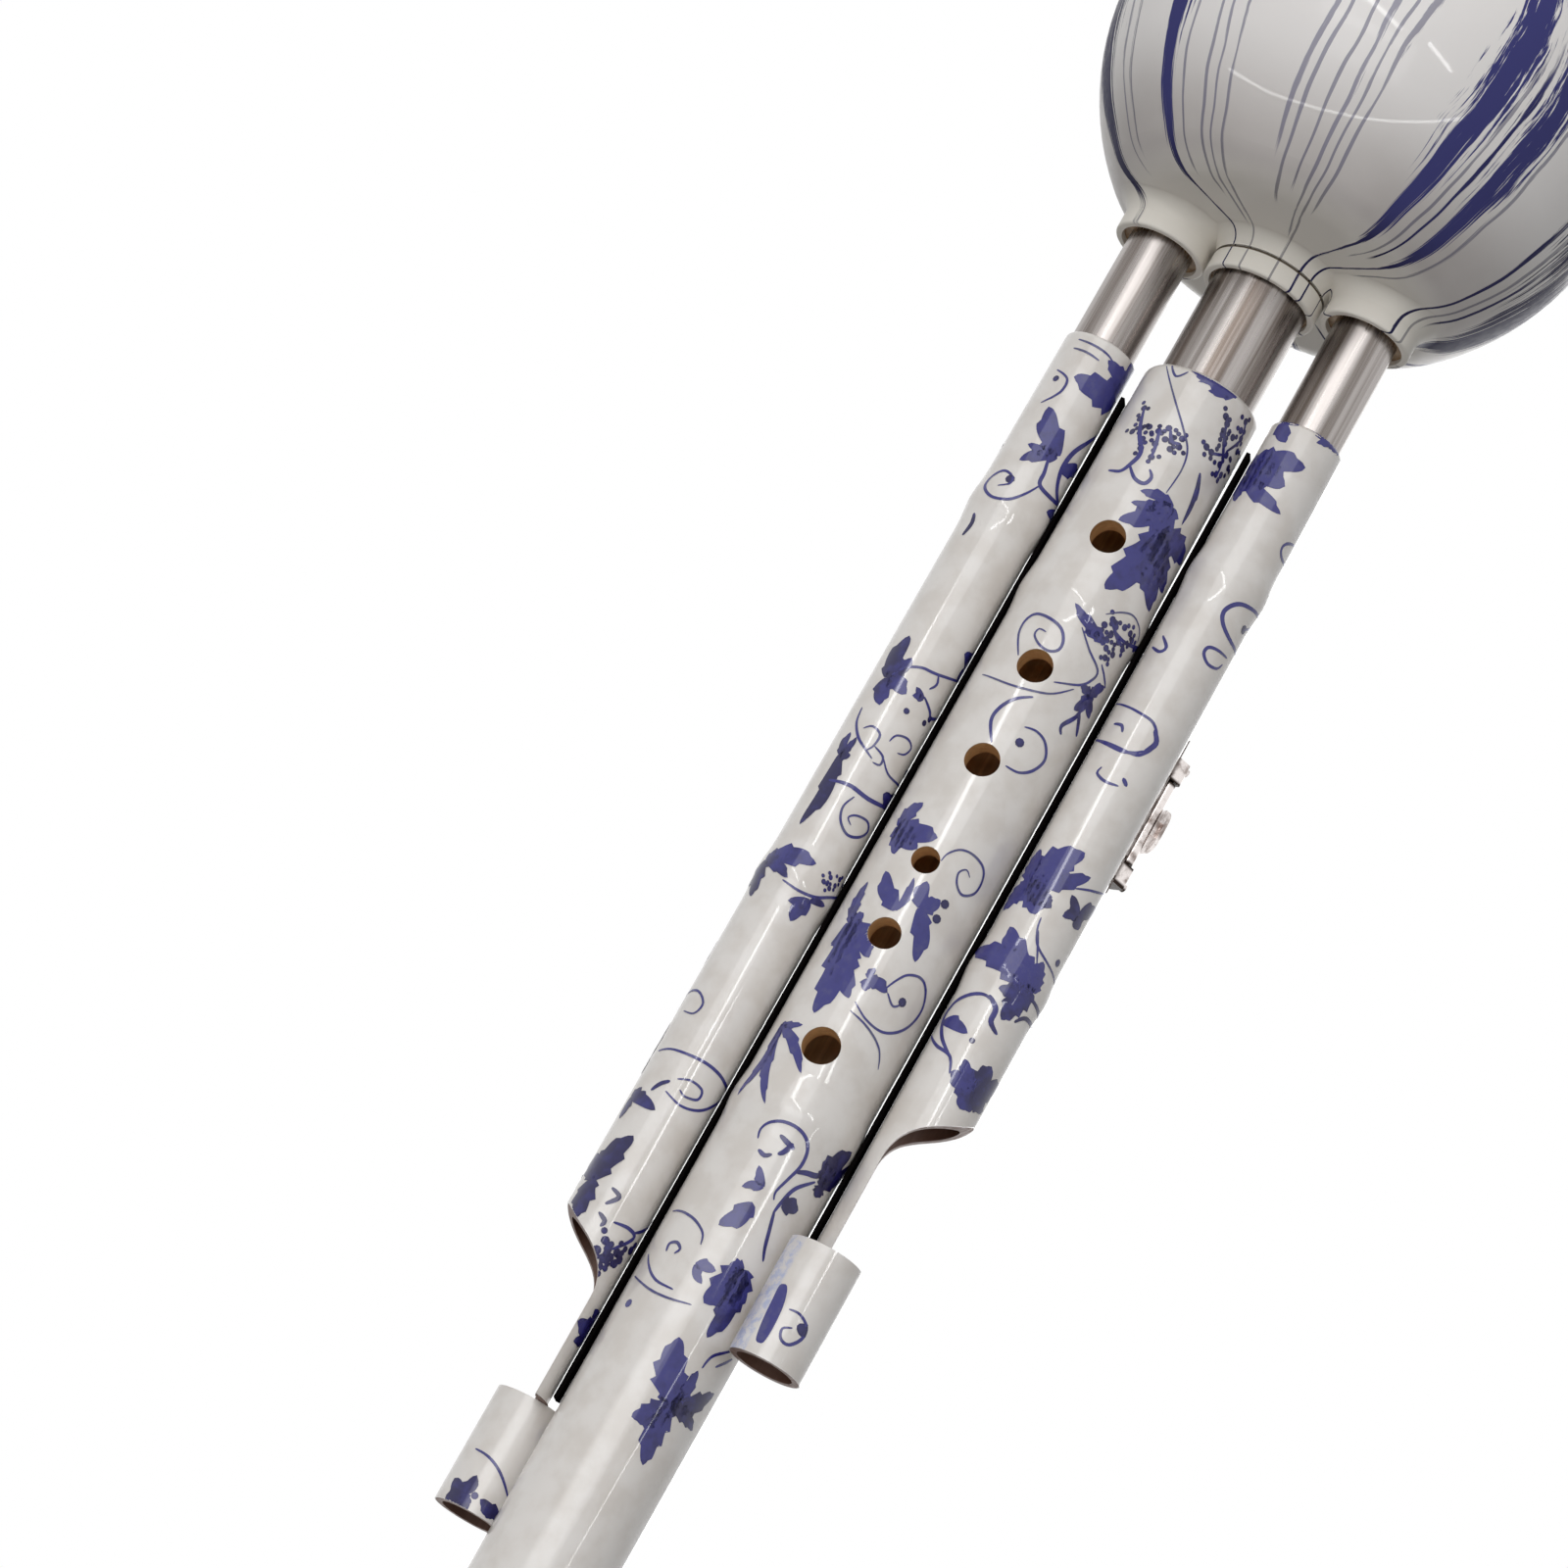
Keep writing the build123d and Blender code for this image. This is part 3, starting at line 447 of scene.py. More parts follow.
@dataclass(frozen=True)
class GourdFinish:
    """Warm white glaze with brushed blue streaks that gather at the collars.

    Attributes:
        name: The slot's name.
        white: The glaze's pale patches.
        grey: The glaze's duller patches.
        bright: The upper glaze, painted light; the glaze below it is left as painted shade.
        cream: The collars.
        wash: The thinnest paint.
        stroke: The thickest paint.
        groove_shade: The painted shade in the groove of the middle collar.
        painted_light_zone: The heights between which the painted light comes in, in metres.
        cream_zone: The heights between which the collars' cream ends, in metres.
        groove: The height of the groove's painted shade in metres.
        groove_blur: The distances from it at which the painted shade thins and ends, in metres.
        groove_reach: The distances from the axis at which it thins and ends, in metres.
        patch: Patches of the glaze to the metre.
        wander: How far the streaks wander, in radians.
        comb: How close the bristles lie round the gourd and along it.
        growth: How fast the streaks widen to the metre, and where they start to.
        hair: The half width in metres that every streak has at least.
        fine: The half width in metres below which a streak is faint.
        faint: The cover of a faint streak.
        fade: The height in metres over which a streak fades out.
        grain: Specks to the metre.
        swell: Swellings to the metre.
        relief: The height of the swellings in metres.
        gloss: The roughness, smoothest and roughest.
        shine: The coat's weight on bare glaze and on paint.
        level: The specular level as a share of the coat's weight.
        marks: The streaks.
    """

    name: str = "gourd_lacquer"
    white: Colour = tint(0.53, 0.495, 0.475)
    grey: Colour = tint(0.44, 0.405, 0.385)
    bright: Colour = tint(0.80, 0.775, 0.76)
    cream: Colour = tint(0.80, 0.765, 0.70)
    wash: Colour = tint(0.060, 0.062, 0.22)
    stroke: Colour = tint(0.018, 0.016, 0.060)
    groove_shade: Colour = tint(0.10, 0.075, 0.05)
    painted_light_zone: Range = (0.296, 0.318)
    cream_zone: Range = (0.294, 0.298)
    groove: float = 0.2917
    groove_blur: Range = (0.0002, 0.0004)
    groove_reach: Range = (0.0116, 0.0118)
    patch: float = 38.0
    wander: float = 0.14
    comb: Point2 = (70.0, 80.0)
    growth: Point2 = (33.0, -0.65)
    hair: float = 0.00022
    fine: float = 0.0005
    faint: float = 0.6
    fade: float = 0.02
    grain: float = 700.0
    swell: float = 45.0
    relief: float = 0.0004
    gloss: Range = (0.30, 0.40)
    shine: Range = (0.15, 0.03)
    level: float = 0.6
    marks: tuple[BrushMark, ...] = (
        BrushMark(-163.0, 0.0060, 0.95, 0.345, 0.026),
        BrushMark(-150.0, 0.0003, 0.60, 0.350, 0.030),
        BrushMark(-146.0, 0.0003, 0.75, 0.338, 0.033),
        BrushMark(-130.0, 0.0030, 0.25, 0.378),
        BrushMark(-124.0, 0.0001, 0.45, 0.360, 0.028),
        BrushMark(-117.0, 0.0001, 0.40, 0.360, 0.022),
        BrushMark(-114.0, 0.0001, 0.35, 0.372, 0.014),
        BrushMark(-110.0, 0.0001, 0.45, 0.350),
        BrushMark(-93.0, 0.0004, 0.35, 0.366, 0.036),
        BrushMark(-90.0, 0.0001, 0.40, 0.378, 0.024),
        BrushMark(-85.0, 0.0001, 0.45, 0.378, 0.030),
        BrushMark(-81.0, 0.0004, 0.35, 0.384, 0.014),
        BrushMark(-78.0, 0.0001, 0.45, 0.384),
        BrushMark(-75.0, 0.0003, 0.45, 0.360, 0.028),
        BrushMark(-55.0, 0.0036, 0.20, 0.388),
        BrushMark(-49.5, 0.0003, 0.60, 0.350, 0.022),
        BrushMark(-46.5, 0.0005, 0.60, 0.350, 0.026),
        BrushMark(-40.0, 0.0034, 0.25, 0.380),
        BrushMark(-34.0, 0.0002, 0.60, 0.360, 0.018),
        BrushMark(-15.0, 0.0006, 0.75, 0.340),
        BrushMark(-10.0, 0.0003, 0.75, 0.340, 0.026),
        BrushMark(-6.0, 0.0005, 0.80, 0.332, 0.030),
        # A real dark stroke, widened so that it also paints the shade of the gourd's lower right
        # side.
        BrushMark(11.0, 0.0150, 1.0, 0.340, 0.027),
        BrushMark(34.0, 0.0030, 0.30, 0.384),
        BrushMark(45.0, 0.0004, 0.65, 0.350, 0.026),
        BrushMark(63.0, 0.0014, 0.70, 0.362, 0.016),
        BrushMark(84.0, 0.0036, 0.25, 0.380),
        BrushMark(97.0, 0.0003, 0.75, 0.345, 0.024),
        BrushMark(118.0, 0.0030, 0.35, 0.388),
        BrushMark(137.0, 0.0004, 0.65, 0.356, 0.028),
        BrushMark(158.0, 0.0022, 0.60, 0.366, 0.014),
    )

    def material(self) -> bpy.types.Material:
        """Builds the gourd's material."""
        sheet = NodeSheet(self.name)
        point = self._point(sheet)
        patches = sheet.spread(sheet.noise(self.patch, detail=4.0), 0.35, 0.75)
        colour = sheet.blend(patches, self.white, self.grey)
        # Painted light and shade: the glaze turns lighter going up, leaving the lower part darker.
        colour = sheet.blend(sheet.spread(point.height, *self.painted_light_zone), colour, self.bright)
        painted = sheet.spread(point.height, *self.cream_zone, 1.0, 0.0)
        colour = sheet.blend(painted, colour, self.cream)
        for mark in self.marks:
            cover = self._cover(sheet, mark, point)
            thick = min(1.0, mark.depth + 0.6)
            paint = sheet.spread(point.growth, 0.0, 0.5, thick, mark.depth)
            colour = sheet.blend(cover, colour, sheet.blend(paint, self.wash, self.stroke))
            painted = sheet.math("MAXIMUM", painted, cover)
        # Painted shade in the groove of the middle collar.
        near = sheet.spread(sheet.apart(point.height, self.groove), *self.groove_blur, 1.0, 0.0)
        within = sheet.spread(point.reach, *self.groove_reach, 1.0, 0.0)
        sheet.paint(sheet.blend(sheet.math("MULTIPLY", near, within), colour, self.groove_shade))
        fine = sheet.noise(self.grain, detail=2.0)
        sheet.gloss(fine, *self.gloss)
        height = sheet.math("MULTIPLY_ADD", fine, 0.05, sheet.noise(self.swell))
        sheet.bump(height, self.relief, strength=0.2)
        shine = sheet.spread(painted, 0.0, 1.0, *self.shine)
        sheet.join(shine, sheet.shader.inputs["Coat Weight"])
        level = sheet.math("MULTIPLY", shine, self.level)
        sheet.join(level, sheet.shader.inputs["Specular IOR Level"])
        sheet.constants(Coat_IOR=2.2, Coat_Roughness=0.04)
        return sheet.material

    def _point(self, sheet: NodeSheet) -> BrushPoint:
        """Works out what the streaks need to know about a point.

        Args:
            sheet: The material being built.

        Returns:
            The point's angle, distance, height, growth and bristles.
        """
        across, along, height = sheet.axes()
        reach = sheet.reach(across, along)
        wander = sheet.math("SUBTRACT", sheet.noise(32.0, detail=2.0), 0.5)
        angle = sheet.math("ARCTAN2", along, across)
        turn = sheet.math("MULTIPLY_ADD", wander, self.wander, angle)
        run = sheet.math("SUBTRACT", height, reach)
        combed = sheet.add("ShaderNodeCombineXYZ")
        for number, value in enumerate((turn, run)):
            sheet.join(sheet.math("MULTIPLY", value, self.comb[number]), combed.inputs[number])
        bristle = sheet.noise(1.0, 4.0, combed.outputs[0], 0.65)
        grown = sheet.math("MULTIPLY_ADD", reach, *self.growth)
        growth = sheet.math("POWER", sheet.math("MAXIMUM", grown, 0.0), 2.0)
        return BrushPoint(turn, reach, height, growth, bristle)

    def _cover(self, sheet: NodeSheet, mark: BrushMark, point: BrushPoint) -> Socket:
        """Works out how much of a point one streak covers.

        Args:
            sheet: The material being built.
            mark: The streak.
            point: The point.

        Returns:
            The cover, 0 to 1.
        """
        away = sheet.math("SUBTRACT", point.turn, math.radians(mark.angle))
        beside = sheet.math("MULTIPLY", sheet.math("SINE", away), point.reach)
        distance = sheet.math("ABSOLUTE", beside)
        half = sheet.math("MULTIPLY_ADD", point.growth, mark.width, self.hair)
        rough = sheet.math("MULTIPLY", sheet.math("SUBTRACT", point.bristle, 0.5), 4.2)
        share = sheet.math("ADD", sheet.math("DIVIDE", distance, half), rough)
        inside = sheet.spread(share, 0.8, 1.1, 1.0, 0.0)
        ragged = sheet.math("MULTIPLY_ADD", point.bristle, 0.05, point.height)
        fade = sheet.spread(ragged, mark.start, mark.start + self.fade, 1.0, 0.0)
        side = sheet.spread(sheet.math("COSINE", away), 0.0, 0.2)
        cover = sheet.math("MULTIPLY", sheet.math("MULTIPLY", inside, fade), side)
        if mark.width < self.fine:
            cover = sheet.math("MULTIPLY", cover, self.faint)
        if mark.foot:
            uneven = sheet.math("MULTIPLY_ADD", point.bristle, 0.012, point.reach)
            end = sheet.spread(uneven, mark.foot + 0.006, mark.foot + 0.009)
            cover = sheet.math("MULTIPLY", cover, end)
        return cover


@dataclass(frozen=True)
class WoodFinish:
    """Bamboo or turned hardwood, with grain along the pipe.

    Attributes:
        name: The slot's name.
        pale: The wood between the fibres.
        dark: The fibres.
        roughness: The middle roughness.
        stain: What the wood beside the middle pipe is multiplied by.
        stain_zone: The distances across between which the stain begins, in metres.
        fibre: Fibres to the metre.
        streak: Broad streaks to the metre.
        relief: The height of the fibres in metres.
    """

    name: str
    pale: Colour
    dark: Colour
    roughness: float = 0.5
    stain: Colour | None = None
    stain_zone: Range = (0.0105, 0.0115)
    fibre: float = 900.0
    streak: float = 220.0
    relief: float = 0.00008

    def material(self) -> bpy.types.Material:
        """Builds the wood's material."""
        sheet = NodeSheet(self.name)
        fibre = sheet.noise(self.fibre, 5.0, sheet.stretched((1.0, 1.0, 0.03)), 0.65)
        streak = sheet.noise(self.streak, 3.0, sheet.stretched((1.0, 1.0, 0.08)))
        shade = sheet.math("MULTIPLY_ADD", streak, 0.6, sheet.math("MULTIPLY", fibre, 0.6))
        colour = sheet.blend(sheet.spread(shade, 0.35, 0.85), self.pale, self.dark)
        if self.stain:
            across = sheet.math("ABSOLUTE", sheet.axes()[0])
            beside = sheet.spread(across, *self.stain_zone)
            colour = sheet.blend(beside, colour, self.stain, "MULTIPLY")
        sheet.paint(colour)
        sheet.gloss(fibre, self.roughness - 0.1, self.roughness + 0.1)
        sheet.bump(fibre, self.relief, strength=0.6)
        return sheet.material


@dataclass(frozen=True)
class MetalFinish:
    """Plated metal, from bright key plate to satin tube.

    Attributes:
        name: The slot's name.
        base: The clean metal.
        tarnish_and_painted_reflection: Duller streaks and patches, partly painted reflection.
        roughness: The middle roughness.
        drawn: How long the streaks are along the pipes: 1 for patches, less for long streaks.
        scale: Streaks or patches to the metre.
        joints: Heights of the joints where shade is painted, in metres.
        joint_blur: The distances from a joint at which its painted shade thins and ends, in metres.
        pipe_across: Where the axis of the pipe below is, across the part, in metres.
        pipe_zone: The distances from that axis at which its painted shade thins and ends, in
            metres.
        pipe_cover: How much of the metal close to the pipe the painted shade covers.
        painted_shade: The painted shade, next to the pipe and in the joints.
        relief: The height of the fine scratches in metres.
    """

    name: str
    base: Colour
    tarnish_and_painted_reflection: Colour
    roughness: float
    drawn: float = 1.0
    scale: float = 120.0
    joints: tuple[float, ...] = ()
    joint_blur: Range = (0.0003, 0.0009)
    pipe_across: float = 0.0212
    pipe_zone: Range = (0.0084, 0.0092)
    pipe_cover: float = 0.7
    painted_shade: Colour = tint(0.030, 0.020, 0.016)
    relief: float = 0.00001

    def material(self) -> bpy.types.Material:
        """Builds the metal's material."""
        sheet = NodeSheet(self.name)
        along = sheet.stretched((1.0, 1.0, self.drawn))
        patches = sheet.noise(self.scale, 5.0, along, 0.6)
        # The duller streaks and patches are tarnish, and on the tubes and the key also painted
        # reflection.
        colour = sheet.blend(sheet.spread(patches, 0.42, 0.66), self.base, self.tarnish_and_painted_reflection)
        # Painted shade next to the pipe and in the joints.
        if self.joints:
            colour = sheet.blend(self._painted_shade_cover(sheet), colour, self.painted_shade)
        sheet.paint(colour)
        fine = sheet.noise(self.scale * 9.0, 3.0, along)
        sheet.gloss(fine, self.roughness * 0.75, self.roughness * 1.3)
        sheet.bump(fine, self.relief, strength=0.5)
        sheet.constants(Metallic=1.0)
        return sheet.material

    def _painted_shade_cover(self, sheet: NodeSheet) -> Socket:
        """Works out how much painted shade lies at a point: close to the pipe and in the joints.

        Args:
            sheet: The material being built.

        Returns:
            The painted shade's cover, 0 to 1.
        """
        across, along, height = sheet.axes()
        reach = sheet.reach(sheet.math("SUBTRACT", across, self.pipe_across), along)
        cover = sheet.spread(reach, *self.pipe_zone, self.pipe_cover, 0.0)
        for joint in self.joints:
            line = sheet.spread(sheet.apart(height, joint), *self.joint_blur, 1.0, 0.0)
            cover = sheet.math("MAXIMUM", cover, line)
        return cover


@dataclass(frozen=True)
class SoftFinish:
    """Cork, pad leather or gap strips of painted shade: matt, with a coarse and a fine grain.

    Attributes:
        name: The slot's name.
        pale: The grain's pale parts.
        dark: The grain's dark parts.
        grain: Grains to the metre.
        relief: The height of the grain in metres.
        level: The specular level, 0.5 for a plain surface.
        gloss: The roughness, smoothest and roughest.
    """

    name: str
    pale: Colour
    dark: Colour
    grain: float
    relief: float
    level: float = 0.5
    gloss: Range = (0.7, 0.95)

    def material(self) -> bpy.types.Material:
        """Builds the soft material."""
        sheet = NodeSheet(self.name)
        grain = sheet.noise(self.grain, detail=6.0, roughness=0.7)
        sheet.paint(sheet.blend(sheet.spread(grain, 0.35, 0.7), self.pale, self.dark))
        sheet.gloss(grain, *self.gloss)
        sheet.bump(grain, self.relief, strength=0.8)
        sheet.constants(Specular_IOR_Level=self.level)
        return sheet.material


class Slot(Enum):
    """The record's material slots."""

    PIPE_WOOD = "pipe_wood"
    FILM = "printed_film"
    # Near-black strips between the pipes, a dark sheet of painted shade in the gaps.
    GAP_SHADE_STRIP = "strip_felt"
    GOURD = "gourd_lacquer"
    BUSH_WOOD = "bush_wood"
    STOCK_METAL = "stock_metal"
    REED_BRASS = "reed_brass"
    MOUTHPIECE_WOOD = "mouthpiece_wood"
    CORK = "cork"
    KEY_METAL = "key_metal"
    SPRING_STEEL = "spring_steel"
    PAD_LEATHER = "pad_leather"


class Finishes:
    """One material for each of the record's slots, and one for the ink."""

    def __init__(self) -> None:
        """Builds every material once."""
        made = (
            WoodFinish(
                "pipe_wood", tint(0.80, 0.51, 0.25), tint(0.50, 0.28, 0.12), 0.5,
                stain=tint(0.18, 0.14, 0.19),
            ),
            FilmFinish(),
            GourdFinish(),
            WoodFinish("bush_wood", tint(0.34, 0.21, 0.09), tint(0.13, 0.07, 0.03)),
            # The tubes' long dark streaks are partly brushing and partly painted reflection of a
            # dark surround.
            MetalFinish(
                "stock_metal", tint(0.42, 0.39, 0.375), tint(0.13, 0.105, 0.09), 0.3,
                drawn=0.015, scale=260.0,
            ),
            MetalFinish("reed_brass", tint(0.72, 0.47, 0.17), tint(0.45, 0.26, 0.08), 0.3),
            WoodFinish(
                "mouthpiece_wood", tint(0.14, 0.04, 0.02), tint(0.035, 0.010, 0.006), 0.25
            ),
            SoftFinish(
                "cork", tint(0.42, 0.24, 0.11), tint(0.16, 0.08, 0.03),
                grain=1500.0, relief=0.0001,
            ),
            # The key's dark patches are partly painted reflection; its darkening next to the pipe
            # and in the joints is painted shade.
            MetalFinish(
                "key_metal", tint(0.84, 0.78, 0.755), tint(0.26, 0.21, 0.19), 0.2,
                scale=300.0, joints=(0.1744, 0.17875, 0.19645),
            ),
            MetalFinish("spring_steel", tint(0.10, 0.12, 0.20), tint(0.06, 0.06, 0.08), 0.3),
            # Near-black strips that paint the shade in the gaps between the pipes.
            SoftFinish(
                "strip_felt", tint(0.005, 0.004, 0.004), tint(0.002, 0.002, 0.002),
                grain=3000.0, relief=0.00006, level=0.0,
            ),
            SoftFinish(
                "pad_leather", tint(0.56, 0.42, 0.26), tint(0.40, 0.27, 0.15),
                grain=2200.0, relief=0.00004,
            ),
        )
        self.ink: bpy.types.Material = InkFinish().material()
        self.by_slot: dict[Slot, bpy.types.Material] = {
            Slot(finish.name): finish.material() for finish in made
        }

    def dress(self, piece: bpy.types.Object, slot: Slot) -> None:
        """Gives a piece the one material of its slot.

        Args:
            piece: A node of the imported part, or a piece made here.
            slot: The record's slot.
        """
        piece.data.materials.clear()
        piece.data.materials.append(self.by_slot[slot])


@dataclass
class Body:
    """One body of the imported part: its name and the nodes that ride on it."""

    name: str
    nodes: dict[str, bpy.types.Object]
    slots: dict[str, str]
    finishes: Finishes

    def dress_nodes(self, names: tuple[str, ...]) -> None:
        """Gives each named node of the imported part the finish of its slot.

        Args:
            names: The nodes.
        """
        for name in names:
            self.finishes.dress(self.nodes[name], Slot(self.slots[name]))
        LOG.info("%s: dressed %s", self.name, ", ".join(names))

    def add_mesh(
        self, name: str, points: list[Vector], faces: list[tuple[int, ...]]
    ) -> bpy.types.Object:
        """Adds a smooth mesh that rides on this body.

        Args:
            name: The piece's name.
            points: Its points in metres.
            faces: Its faces, as places in points.

        Returns:
            The new piece.
        """
        mesh = bpy.data.meshes.new(name)
        mesh.from_pydata(points, [], faces)
        mesh.polygons.foreach_set("use_smooth", [True] * len(mesh.polygons))
        mesh.update()
        piece = bpy.data.objects.new(name, mesh)
        bpy.context.scene.collection.objects.link(piece)
        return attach(piece, self.name)


@dataclass(frozen=True)
class Leaf:
    """A leaf of pointed blades that spring from one stalk.

    Attributes:
        base: Where the blades meet, in degrees round the film and mm up it.
        teeth: Teeth along each side of a blade.
        blades: Each blade's tip (degrees, mm), its half width in mm and its ink.
    """

    base: Point2
    teeth: int
    blades: tuple[tuple[float, float, float, float], ...]


@dataclass(frozen=True)
class Stem:
    """A drawn line, thin at both ends.

    Attributes:
        width: Its half width in mm.
        ink: How dark it is.
        points: The points it runs through, in degrees round and mm up.
    """

    width: float
    ink: float
    points: tuple[Point2, ...]


@dataclass(frozen=True)
class Berries:
    """Round berries of one size.

    Attributes:
        radius: Their radius in mm.
        ink: How dark they are.
        points: Their middles, in degrees round and mm up.
    """

    radius: float
    ink: float
    points: tuple[Point2, ...]


Mark = Leaf | Stem | Berries


